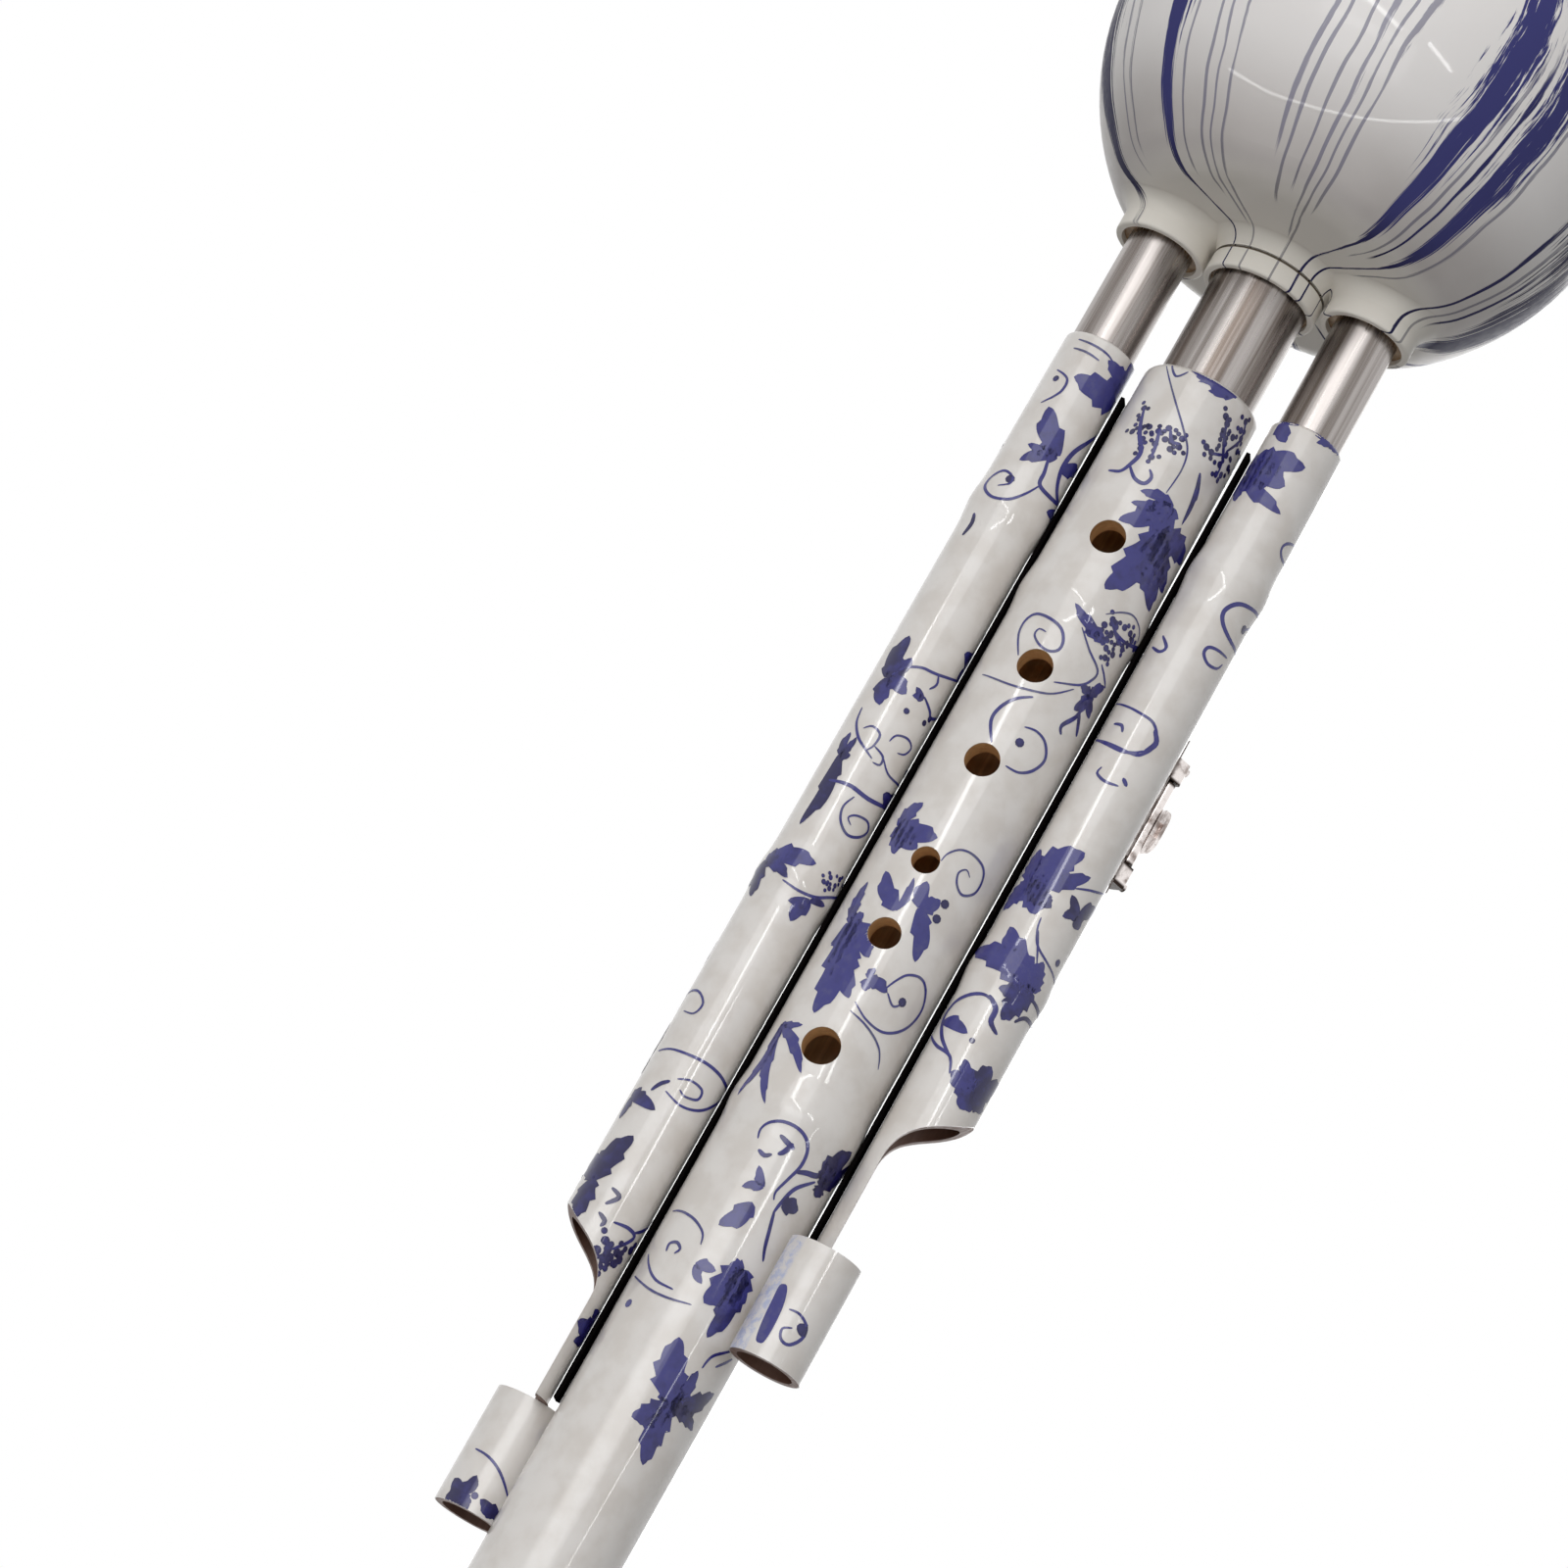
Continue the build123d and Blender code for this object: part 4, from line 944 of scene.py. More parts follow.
MAIN_MARKS: tuple[Mark, ...] = (
    Leaf((-49, 264.9), 3, ((-102, 264.6, 1.3, 0.5), (-88, 262.5, 0.7, 0.5),
        (-76, 261.8, 0.9, 0.5), (-62, 262.3, 0.7, 0.5))),
    Stem(0.29, 0.25, ((-120, 264.2), (-109, 262.0), (-100, 263.6))),
    Stem(0.25, 0.25, ((-125, 263.8), (-97, 257.1), (-77, 252.5), (-66, 249.6), (-62, 245.7),
        (-64, 240.3))),
    Berries(0.54, 0.8, ((-123, 254.2), (-121, 251.8), (-114, 249.9), (-121, 248.9),
        (-107, 250.6), (-107, 247.9), (-97, 250.4), (-90, 251.7), (-88, 249.4), (-94, 247.8),
        (-83, 250.3), (-75, 251.0), (-74, 249.3), (-80, 248.1), (-104, 246.0), (-91, 245.1))),
    Stem(0.54, 0.5, ((-123, 254.4), (-118, 251.4), (-112, 248.6), (-102, 245.2), (-105, 242.3),
        (-111, 240.4), (-123, 240.1))),
    Stem(0.46, 0.5, ((-105, 242.1), (-95, 240.0), (-85, 239.8), (-82, 241.5), (-87, 242.8))),
    Stem(0.43, 0.6, ((-97, 250.9), (-93, 247.8), (-91, 245.1))),
    Stem(0.43, 0.6, ((-88, 251.6), (-82, 249.6), (-74, 250.0))),
    Berries(0.57, 0.85, ((-50, 259.6), (-45, 258.6), (-44, 256.4), (-27, 261.8), (-27, 259.8),
        (-21, 258.8), (-37, 255.4), (-28, 254.1), (-16, 256.6), (-52, 252.4), (-45, 252.2),
        (-30, 251.7), (-28, 249.8), (-16, 252.9), (-1, 255.3), (-21, 250.6), (-32, 257.5))),
    Stem(0.43, 0.8, ((-48, 259.9), (-41, 256.3), (-29, 252.5), (-26, 249.7))),
    Stem(0.39, 0.8, ((-27, 262.1), (-21, 258.5), (-31, 254.4))),
    Stem(0.36, 0.7, ((-52, 252.3), (-42, 252.4), (-29, 254.0))),
    Leaf((-45, 247.6), 1, ((-35, 237.3, 0.6, 0.8),)),
    Leaf((-52, 238.9), 3, ((-89, 231.2, 2.0, 0.5), (-85, 238.2, 1.1, 0.5),
        (-87, 235.4, 1.2, 0.5), (-51, 230.3, 2.5, 0.5))),
    Leaf((-51, 233.3), 4, ((-70, 218.1, 3.0, 0.6), (-17, 220.7, 3.0, 0.65),
        (-4, 232.9, 2.5, 0.7), (-11, 225.5, 2.3, 0.75), (-57, 238.5, 2.1, 0.5))),
    Leaf((-45, 209.8), 3, ((-86, 213.0, 1.1, 0.6), (-68, 209.2, 0.9, 0.5))),
    Berries(0.53, 0.8, ((-51, 214.1), (-45, 213.4), (-55, 212.4), (-37, 214.5), (-45, 211.7),
        (-28, 214.5), (-21, 213.9), (-34, 211.7), (-10, 213.5), (10, 215.9), (-25, 211.3),
        (-48, 209.9), (-38, 207.7), (-42, 209.2), (-32, 209.2))),
    Stem(0.23, 0.25, ((-59, 214.1), (-47, 216.3), (-34, 217.4), (-19, 216.5), (-12, 214.7))),
    Stem(0.42, 0.7, ((-52, 213.9), (-37, 212.0), (-21, 211.5))),
    Stem(0.42, 0.7, ((-45, 212.7), (-25, 212.7), (11, 215.9))),
    Stem(0.35, 0.35, ((-108, 199.7), (-119, 203.8), (-120, 206.7), (-113, 208.5), (-99, 208.5),
        (-86, 207.6), (-79, 205.6), (-79, 203.7), (-86, 202.7), (-96, 203.1), (-104, 204.5),
        (-103, 205.9), (-96, 205.8))),
    Stem(0.3, 0.3, ((-71, 209.7), (-55, 206.8), (-38, 204.8), (-39, 202.6), (-48, 200.3),
        (-69, 198.0))),
    Stem(0.28, 0.4, ((-38, 206.3), (-18, 203.7))),
    Leaf((-32, 200.3), 2, ((-20, 203.8, 1.1, 0.7), (-46, 200.4, 0.9, 0.7),
        (-40, 196.0, 1.2, 0.75), (-17, 197.2, 1.1, 0.75))),
    Stem(0.53, 0.7, ((-33, 197.9), (-34, 195.4), (-43, 192.2), (-39, 190.8))),
    Stem(0.53, 0.7, ((-33, 196.5), (-21, 192.8))),
    Stem(0.26, 0.25, ((-135, 194.6), (-100, 193.9), (-69, 195.5), (-50, 199.1))),
    Stem(0.42, 0.4, ((-78, 193.6), (-91, 191.7), (-99, 189.0), (-100, 186.2), (-90, 182.4))),
    Stem(0.37, 0.4, ((-72, 187.9), (-61, 188.4), (-49, 187.6), (-41, 185.1), (-46, 182.1),
        (-57, 180.1), (-70, 179.8))),
    Berries(0.7, 0.8, ((-69, 184.9),)),
    Leaf((-133, 161.8), 3, ((-119, 167.3, 1.7, 0.5), (-90, 162.0, 2.3, 0.5),
        (-119, 156.3, 1.7, 0.5), (-101, 158.6, 2.1, 0.5))),
    Stem(0.31, 0.3, ((-78, 158.5), (-76, 160.3), (-68, 162.1), (-56, 162.6), (-42, 161.8),
        (-36, 159.7), (-37, 157.1), (-47, 155.4), (-56, 156.3), (-60, 158.3), (-55, 159.6),
        (-49, 158.8))),
    Leaf((-91, 146.6), 2, ((-118, 152.8, 1.6, 0.5), (-91, 153.5, 0.7, 0.5))),
    Leaf((-74, 149.0), 2, ((-80, 154.0, 1.4, 0.5), (-62, 152.3, 1.4, 0.5),
        (-55, 140.2, 1.6, 0.5))),
    Berries(0.69, 0.95, ((-57, 152.1), (-57, 149.0))),
    Leaf((-125, 141.5), 4, ((-131, 150.1, 1.2, 0.6), (-116, 144.0, 1.4, 0.5),
        (-110, 123.5, 2.9, 0.5), (-89, 128.4, 2.6, 0.5), (-91, 136.7, 2.1, 0.5))),
    Leaf((-83, 133.2), 2, ((-63, 132.8, 1.2, 0.6), (-80, 130.9, 0.9, 0.5),
        (-82, 135.5, 0.7, 0.5))),
    Stem(0.34, 0.4, ((-67, 132.7), (-62, 135.3), (-55, 137.5), (-43, 138.5), (-32, 137.5),
        (-24, 134.6), (-26, 131.3), (-36, 128.2), (-51, 126.3), (-68, 126.6), (-83, 128.4))),
    Stem(0.26, 0.35, ((-63, 132.8), (-53, 131.3), (-46, 132.8))),
    Berries(0.69, 0.95, ((-47, 132.9),)),
    Stem(0.26, 0.25, ((-83, 126.6), (-62, 125.4), (-44, 123.4), (-35, 120.5))),
    Leaf((-138, 120.1), 3, ((-141, 105.0, 1.0, 0.5), (-107, 104.8, 1.0, 0.5),
        (-93, 112.5, 1.0, 0.5), (-114, 120.8, 0.7, 0.5))),
    Stem(0.39, 0.5, ((-98, 98.7), (-100, 100.4), (-96, 102.1), (-86, 103.3), (-73, 103.5),
        (-62, 102.6), (-56, 100.7), (-55, 98.1), (-59, 95.0), (-63, 92.0), (-61, 90.5))),
    Stem(0.58, 0.7, ((-83, 101.0), (-74, 100.4), (-67, 100.0))),
    Stem(0.58, 0.7, ((-70, 100.8), (-73, 98.8), (-77, 97.8))),
    Stem(0.51, 0.7, ((-93, 97.0), (-86, 96.5), (-81, 97.3))),
    Stem(0.61, 0.8, ((-56, 96.8), (-48, 97.7), (-37, 98.5), (-30, 100.1))),
    Leaf((-27, 97.6), 3, ((-15, 106.1, 2.4, 0.95), (3, 105.1, 1.5, 0.95), (-26, 95.4, 1.5, 0.95),
        (-37, 102.5, 1.4, 0.9))),
    Leaf((-74, 91.5), 1, ((-86, 94.5, 0.8, 0.6), (-90, 89.8, 0.8, 0.6))),
    Stem(0.44, 0.6, ((-35, 97.5), (-49, 94.4), (-54, 91.2), (-56, 88.4))),
    Leaf((-53, 90.6), 2, ((-36, 91.6, 1.5, 0.85),)),
    Leaf((-74, 88.0), 2, ((-91, 81.9, 1.7, 0.6),)),
    Stem(0.44, 0.7, ((-56, 89.0), (-52, 86.1), (-47, 82.7), (-42, 80.5))),
    Stem(0.3, 0.35, ((-96, 77.4), (-100, 79.5), (-113, 81.1), (-131, 81.8), (-145, 81.6))),
    Stem(0.37, 0.4, ((-123, 74.1), (-124, 75.6), (-117, 76.2), (-111, 75.3), (-114, 74.2))),
    Stem(0.31, 0.4, ((-145, 72.9), (-131, 70.3), (-116, 68.6), (-98, 68.3))),
    Stem(0.27, 0.3, ((-148, 68.5), (-119, 66.8), (-98, 66.6), (-78, 67.4))),
    Leaf((-92, 73.9), 1, ((-74, 74.6, 1.0, 0.5), (-79, 71.4, 0.8, 0.5))),
    Leaf((-54, 77.4), 3, ((-70, 68.7, 2.9, 0.55), (-42, 70.8, 2.5, 0.6), (-53, 63.9, 2.0, 0.7),
        (-67, 76.5, 1.3, 0.5))),
    Leaf((-51, 50.7), 4, ((-74, 61.5, 2.8, 0.55), (-47, 39.5, 2.2, 0.65), (-76, 45.5, 2.2, 0.6),
        (-13, 57.2, 1.8, 0.9), (-15, 49.7, 1.3, 0.9), (-45, 58.4, 1.3, 0.6))),
    Stem(0.34, 0.6, ((-21, 65.0), (-39, 62.0), (-43, 59.1))),
    Stem(0.34, 0.6, ((-15, 63.9), (-31, 60.7))),
    Berries(0.67, 0.6, ((-133, 63.3),)),
)

LEFT_MARKS: tuple[Mark, ...] = (
    Stem(0.29, 0.25, ((-118, 263.0), (-93, 262.8), (-68, 262.5), (-51, 261.8))),
    Stem(0.29, 0.25, ((-118, 261.0), (-94, 260.9), (-72, 260.5))),
    Leaf((5, 257.8), 4, ((-93, 255.4, 2.9, 0.5), (-61, 261.6, 2.0, 0.5), (-11, 266.1, 2.4, 0.5),
        (5, 266.9, 1.5, 0.6), (12, 254.2, 1.3, 0.5))),
    Stem(0.31, 0.4, ((-125, 255.9), (-101, 254.6), (-98, 252.1), (-107, 250.0), (-120, 248.4))),
    Berries(0.54, 0.8, ((-118, 254.0),)),
    Leaf((-56, 240.1), 2, ((-104, 248.0, 2.2, 0.6), (-102, 235.9, 1.3, 0.6),
        (-103, 239.5, 1.1, 0.6))),
    Leaf((-42, 238.4), 2, ((8, 241.2, 1.4, 0.5),)),
    Stem(0.62, 0.45, ((7, 250.9), (-18, 246.7), (-36, 242.5), (-38, 238.0), (-22, 234.4),
        (13, 233.3))),
    Stem(0.5, 0.5, ((-67, 239.5), (-61, 236.1), (-57, 233.4), (-28, 233.0), (11, 234.1))),
    Stem(0.36, 0.5, ((-57, 233.4), (-71, 230.1), (-87, 227.7), (-110, 227.1), (-130, 228.9),
        (-130, 231.3), (-115, 233.0), (-98, 232.3), (-96, 230.8), (-110, 229.6))),
    Berries(0.72, 0.85, ((-99, 231.7),)),
    Leaf((12, 232.8), 1, ((-27, 230.3, 1.1, 0.5), (-7, 229.6, 0.9, 0.5))),
    Leaf((6, 203.6), 1, ((7, 205.5, 0.9, 0.7),)),
    Leaf((11, 199.9), 2, ((-27, 198.6, 1.4, 0.7), (11, 197.6, 1.2, 0.7))),
    Stem(0.54, 0.85, ((-124, 223.2), (-119, 221.1), (-123, 218.3))),
    Leaf((-113, 187.0), 2, ((-115, 196.2, 1.9, 0.85), (-93, 192.3, 1.4, 0.8),
        (-75, 185.6, 1.6, 0.6), (-101, 181.5, 1.6, 0.7))),
    Leaf((9, 197.8), 1, ((-25, 199.1, 1.2, 0.7), (-10, 193.8, 1.2, 0.8))),
    Stem(0.34, 0.4, ((-108, 187.8), (-95, 190.0), (-75, 191.4), (-48, 192.1), (10, 195.0))),
    Stem(0.3, 0.4, ((-48, 192.1), (-43, 190.4), (-50, 188.8))),
    Leaf((-50, 186.6), 1, ((-68, 187.8, 0.7, 0.7), (-67, 186.0, 0.7, 0.7))),
    Stem(0.39, 0.6, ((-51, 187.1), (-30, 185.7), (-19, 185.0), (11, 187.3))),
    Berries(0.49, 0.85, ((-28, 183.3), (-63, 182.9), (-22, 184.6))),
    Stem(0.32, 0.4, ((-126, 180.2), (-121, 177.2), (-105, 174.4), (-88, 172.9), (-72, 171.8))),
    Stem(0.28, 0.35, ((-105, 176.3), (-94, 177.3), (-79, 176.5), (-79, 174.1), (-85, 172.7))),
    Stem(0.28, 0.35, ((-63, 176.3), (-58, 178.0), (-40, 178.8), (-26, 178.0), (-31, 176.2),
        (-44, 175.4))),
    Stem(0.28, 0.35, ((-78, 174.1), (-60, 173.2), (-58, 171.6), (-69, 171.3))),
    Stem(0.28, 0.35, ((-58, 173.0), (-36, 171.1), (11, 171.8))),
    Leaf((-117, 170.0), 2, ((-121, 174.9, 0.9, 0.85), (-107, 174.3, 0.7, 0.85),
        (-118, 155.0, 1.4, 0.95), (-101, 170.6, 0.9, 0.85))),
    Leaf((6, 174.4), 1, ((-9, 174.2, 0.9, 0.8),)),
    Leaf((10, 168.2), 2, ((-30, 167.8, 1.6, 0.8), (6, 170.4, 1.1, 0.85))),
    Stem(0.49, 0.5, ((-112, 164.8), (-81, 165.4), (-45, 165.2), (8, 167.1))),
    Stem(0.33, 0.35, ((-67, 164.0), (-74, 161.4), (-67, 158.8), (-49, 157.4), (-29, 158.5),
        (-18, 160.5), (-29, 161.8), (-51, 161.3), (-60, 160.1), (-51, 159.2))),
    Leaf((-140, 146.8), 3, ((-67, 149.6, 1.9, 0.6), (-108, 149.8, 1.6, 0.7),
        (-91, 144.7, 1.2, 0.7), (-132, 139.3, 1.7, 0.9))),
    Berries(0.42, 0.7, ((-46, 147.6), (-39, 149.1), (-25, 148.5), (-21, 150.1), (-1, 150.0),
        (6, 148.9), (-33, 147.3))),
    Stem(0.35, 0.45, ((-96, 144.0), (-71, 143.6), (-46, 144.3), (-22, 146.3), (10, 148.4))),
    Leaf((-50, 143.2), 1, ((-23, 144.3, 0.7, 0.7), (-59, 138.1, 1.4, 0.7),
        (-76, 141.1, 0.9, 0.7))),
    Stem(0.28, 0.4, ((-161, 115.0), (-161, 118.5), (-130, 119.4), (-109, 117.5), (-114, 115.1),
        (-135, 115.1))),
    Stem(0.38, 0.5, ((-141, 106.7), (-119, 107.5), (-91, 107.8), (-57, 108.0), (-24, 107.5),
        (4, 106.3), (-16, 102.6), (-39, 100.1), (-65, 99.1), (-92, 100.1))),
    Stem(0.31, 0.4, ((-86, 103.0), (-68, 103.9), (-48, 103.5), (-47, 101.7), (-65, 100.9),
        (-76, 101.5))),
    Stem(0.48, 0.8, ((-112, 99.2), (-104, 100.9), (-93, 102.1))),
    Leaf((-143, 97.1), 1, ((-91, 96.2, 1.2, 0.8), (-130, 99.3, 1.0, 0.8),
        (-142, 92.6, 1.0, 0.85))),
    Leaf((-124, 80.5), 3, ((-100, 90.4, 2.4, 0.92), (-115, 72.8, 2.2, 0.92),
        (-150, 85.5, 2.0, 0.95))),
    Stem(0.51, 0.85, ((-90, 80.4), (-75, 79.5), (-87, 77.3))),
    Stem(0.51, 0.85, ((-89, 75.5), (-76, 74.6), (-78, 73.4))),
    Berries(0.68, 0.85, ((-62, 71.7), (-53, 70.7), (-44, 69.7), (-32, 69.3), (-52, 68.8),
        (-38, 71.1), (-27, 70.4), (-66, 69.5), (-76, 67.6), (-66, 66.8), (-52, 67.3),
        (-15, 73.1), (11, 72.8))),
    Stem(0.44, 0.6, ((-65, 75.2), (-40, 75.8), (-24, 75.0), (-48, 71.0))),
    Stem(0.41, 0.6, ((11, 80.5), (-7, 77.8), (-29, 75.7))),
    Leaf((10, 58.3), 3, ((-39, 57.3, 1.9, 0.8), (-21, 60.9, 1.4, 0.8), (-27, 54.0, 1.5, 0.85))),
)

LEFT_RING_MARKS: tuple[Mark, ...] = (
    Stem(0.32, 0.4, ((-121, 30.5), (-94, 30.1), (-69, 28.7), (-37, 25.6))),
    Leaf((-103, 22.3), 1, ((-129, 24.4, 1.3, 0.9), (-96, 26.4, 1.2, 0.9), (-125, 20.1, 1.5, 0.9),
        (-83, 20.5, 1.3, 0.85))),
    Berries(0.54, 0.85, ((-92, 24.8), (-84, 23.1), (-110, 21.3), (-89, 21.7))),
    Leaf((-39, 22.3), 2, ((-75, 23.0, 1.2, 0.85), (-64, 21.2, 1.0, 0.85))),
)

RIGHT_MARKS: tuple[Mark, ...] = (
    Leaf((-133, 265.0), 2, ((-98, 265.1, 1.3, 0.5), (-106, 260.5, 1.6, 0.5))),
    Leaf((-10, 266.6), 3, ((-91, 265.6, 1.4, 0.6), (-66, 263.1, 1.1, 0.5),
        (-47, 264.2, 0.9, 0.5))),
    Leaf((-149, 252.8), 3, ((-62, 257.8, 2.7, 0.5), (-61, 247.4, 1.6, 0.5),
        (-112, 258.2, 2.3, 0.5), (-137, 246.7, 1.6, 0.5), (-75, 252.5, 3.0, 0.5))),
    Stem(0.36, 0.4, ((4, 245.7), (-24, 244.2), (-32, 242.5), (-21, 241.2), (7, 241.3))),
    Stem(0.5, 0.5, ((6, 230.0), (-24, 229.5), (-52, 228.3), (-65, 225.7), (-57, 223.4),
        (-32, 221.9), (7, 221.6))),
    Berries(0.71, 0.95, ((-18, 225.6),)),
    Stem(0.28, 0.5, ((-18, 225.6), (3, 227.4))),
    Stem(0.39, 0.45, ((-21, 219.1), (-46, 218.8), (-60, 218.1), (-61, 216.6), (-48, 215.5),
        (-30, 216.1), (-23, 217.6))),
    Stem(0.42, 0.55, ((-131, 216.9), (-114, 214.7), (-121, 213.5), (-141, 214.4))),
    Stem(0.35, 0.45, ((-158, 202.2), (-103, 201.0), (-75, 200.2), (-60, 197.5), (-65, 194.8),
        (-86, 193.2), (-159, 194.3))),
    Stem(0.63, 0.6, ((-70, 199.3), (-59, 197.3), (-68, 194.6))),
    Stem(0.39, 0.4, ((-131, 197.6), (-116, 197.6), (-109, 196.3))),
    Stem(0.39, 0.5, ((-159, 194.4), (-104, 192.9), (-82, 193.5), (-68, 194.9))),
    Stem(0.35, 0.4, ((-111, 188.8), (-113, 187.4), (-96, 186.4), (-76, 186.7))),
    Stem(0.49, 0.5, ((-76, 188.5), (-66, 187.4))),
    Leaf((-122, 163.7), 4, ((-72, 172.8, 2.9, 0.5), (-47, 169.6, 1.7, 0.6),
        (-141, 170.6, 2.1, 0.5), (-149, 157.6, 2.1, 0.5), (-91, 158.4, 2.6, 0.5),
        (-76, 160.8, 1.9, 0.75))),
    Leaf((-34, 162.6), 1, ((8, 166.4, 1.4, 0.95), (-19, 160.7, 1.4, 0.95),
        (-60, 164.9, 1.0, 0.9), (-57, 160.6, 1.0, 0.9))),
    Stem(0.28, 0.6, ((-60, 166.2), (-37, 167.7), (4, 169.8))),
    Leaf((-42, 145.8), 4, ((-116, 154.6, 2.6, 0.5), (-163, 148.9, 2.4, 0.55),
        (-49, 151.7, 1.7, 0.5), (-62, 138.5, 2.1, 0.8), (-86, 143.2, 1.7, 0.75))),
    Stem(0.28, 0.35, ((-82, 158.4), (-77, 155.6), (-60, 152.9), (-3, 150.4))),
    Stem(0.24, 0.35, ((-77, 156.1), (-56, 150.6))),
    Stem(0.41, 0.8, ((-42, 144.9), (10, 143.7))),
    Berries(0.59, 0.7, ((-24, 153.4),)),
    Stem(0.51, 0.55, ((-86, 140.7), (-100, 141.1), (-121, 140.1), (-142, 138.0), (-147, 135.0),
        (-127, 131.2), (-100, 128.3))),
    Leaf((-143, 134.2), 1, ((-93, 133.4, 1.2, 0.55),)),
    Berries(0.45, 0.8, ((-83, 132.6),)),
    Stem(0.62, 0.7, ((-93, 141.4), (-76, 139.7), (-73, 137.2), (-57, 135.8))),
    Stem(0.48, 0.9, ((-43, 139.6), (-28, 141.5), (5, 141.6))),
    Leaf((-49, 125.1), 3, ((-88, 125.9, 1.9, 0.6), (-40, 130.6, 2.2, 0.85),
        (-53, 120.9, 2.4, 0.75), (-1, 129.5, 2.1, 0.95), (-80, 129.0, 1.4, 0.6),
        (-7, 123.4, 1.7, 0.95))),
    Stem(0.38, 0.5, ((-159, 131.5), (-128, 129.4), (-100, 128.3), (-88, 125.4))),
)

RIGHT_RING_MARKS: tuple[Mark, ...] = (
    Stem(1.51, 0.45, ((-113, 77.4), (-107, 73.9), (-102, 66.3))),
    Stem(0.37, 0.6, ((-87, 73.8), (-70, 73.9), (-52, 72.6), (-50, 70.5), (-63, 68.4),
        (-77, 68.6), (-82, 70.3), (-70, 71.2))),
    Leaf((-65, 72.3), 1, ((-46, 71.1, 1.0, 0.95),)),
)


@dataclass(frozen=True)
class Pen:
    """How the leaves, lines and berries are drawn.

    Attributes:
        blade_width: What a blade's half width is multiplied by.
        blade_column: The widest gap between spots across a blade, in mm.
        blade_row: The widest gap between spots along a blade, in mm.
        tooth_rows: The fewest rows of spots to a tooth.
        blade_base: How far along its swelling a blade begins.
        blade_lean: Below 1, a blade is widest nearer to its base.
        blade_round: Below 1, a blade is fuller.
        blade_bend: How far a blade bends, as a share of its length.
        notch: A blade's half width at the root of a tooth, as a share.
        tooth: How much the tip of a tooth adds to it.
        hook: Above 1, a tooth is hooked.
        blade_shade: How much ink a blade's edge gains and its tip loses.
        line_width: What a line's half width is multiplied by.
        line_column: The widest gap between spots across a line, in mm.
        line_row: The widest gap between spots along a line, in mm.
        line_end: A line's width at its ends, as a share of its middle.
        berry_size: What a berry's radius is multiplied by.
        berry_sides: The sides of a berry.
        berry_shade: How much ink a berry's rim gains and its middle loses.
        bunch: How many berries make a bunch, which has small berries beside each.
        small_berry: A small berry's radius, as a share of the berry's.
        bunch_turn: How far the small berries turn from one berry to the next, in radians.
        bunch_sides: Where the small berries of one berry are, in radians.
        bunch_reach: How far off they are in radii, and what each radian of side adds.
    """

    blade_width: float = 1.15
    blade_column: float = 0.9
    blade_row: float = 0.6
    tooth_rows: int = 5
    blade_base: float = 0.06
    blade_lean: float = 0.85
    blade_round: float = 0.68
    blade_bend: float = 0.07
    notch: float = 0.78
    tooth: float = 0.42
    hook: float = 1.5
    blade_shade: float = 0.05
    line_width: float = 0.85
    line_column: float = 0.4
    line_row: float = 0.5
    line_end: float = 0.3
    berry_size: float = 1.25
    berry_sides: int = 9
    berry_shade: float = 0.08
    bunch: int = 6
    small_berry: float = 0.9
    bunch_turn: float = 2.4
    bunch_sides: tuple[float, ...] = (0.0, 2.2)
    bunch_reach: Point2 = (1.9, 0.3)


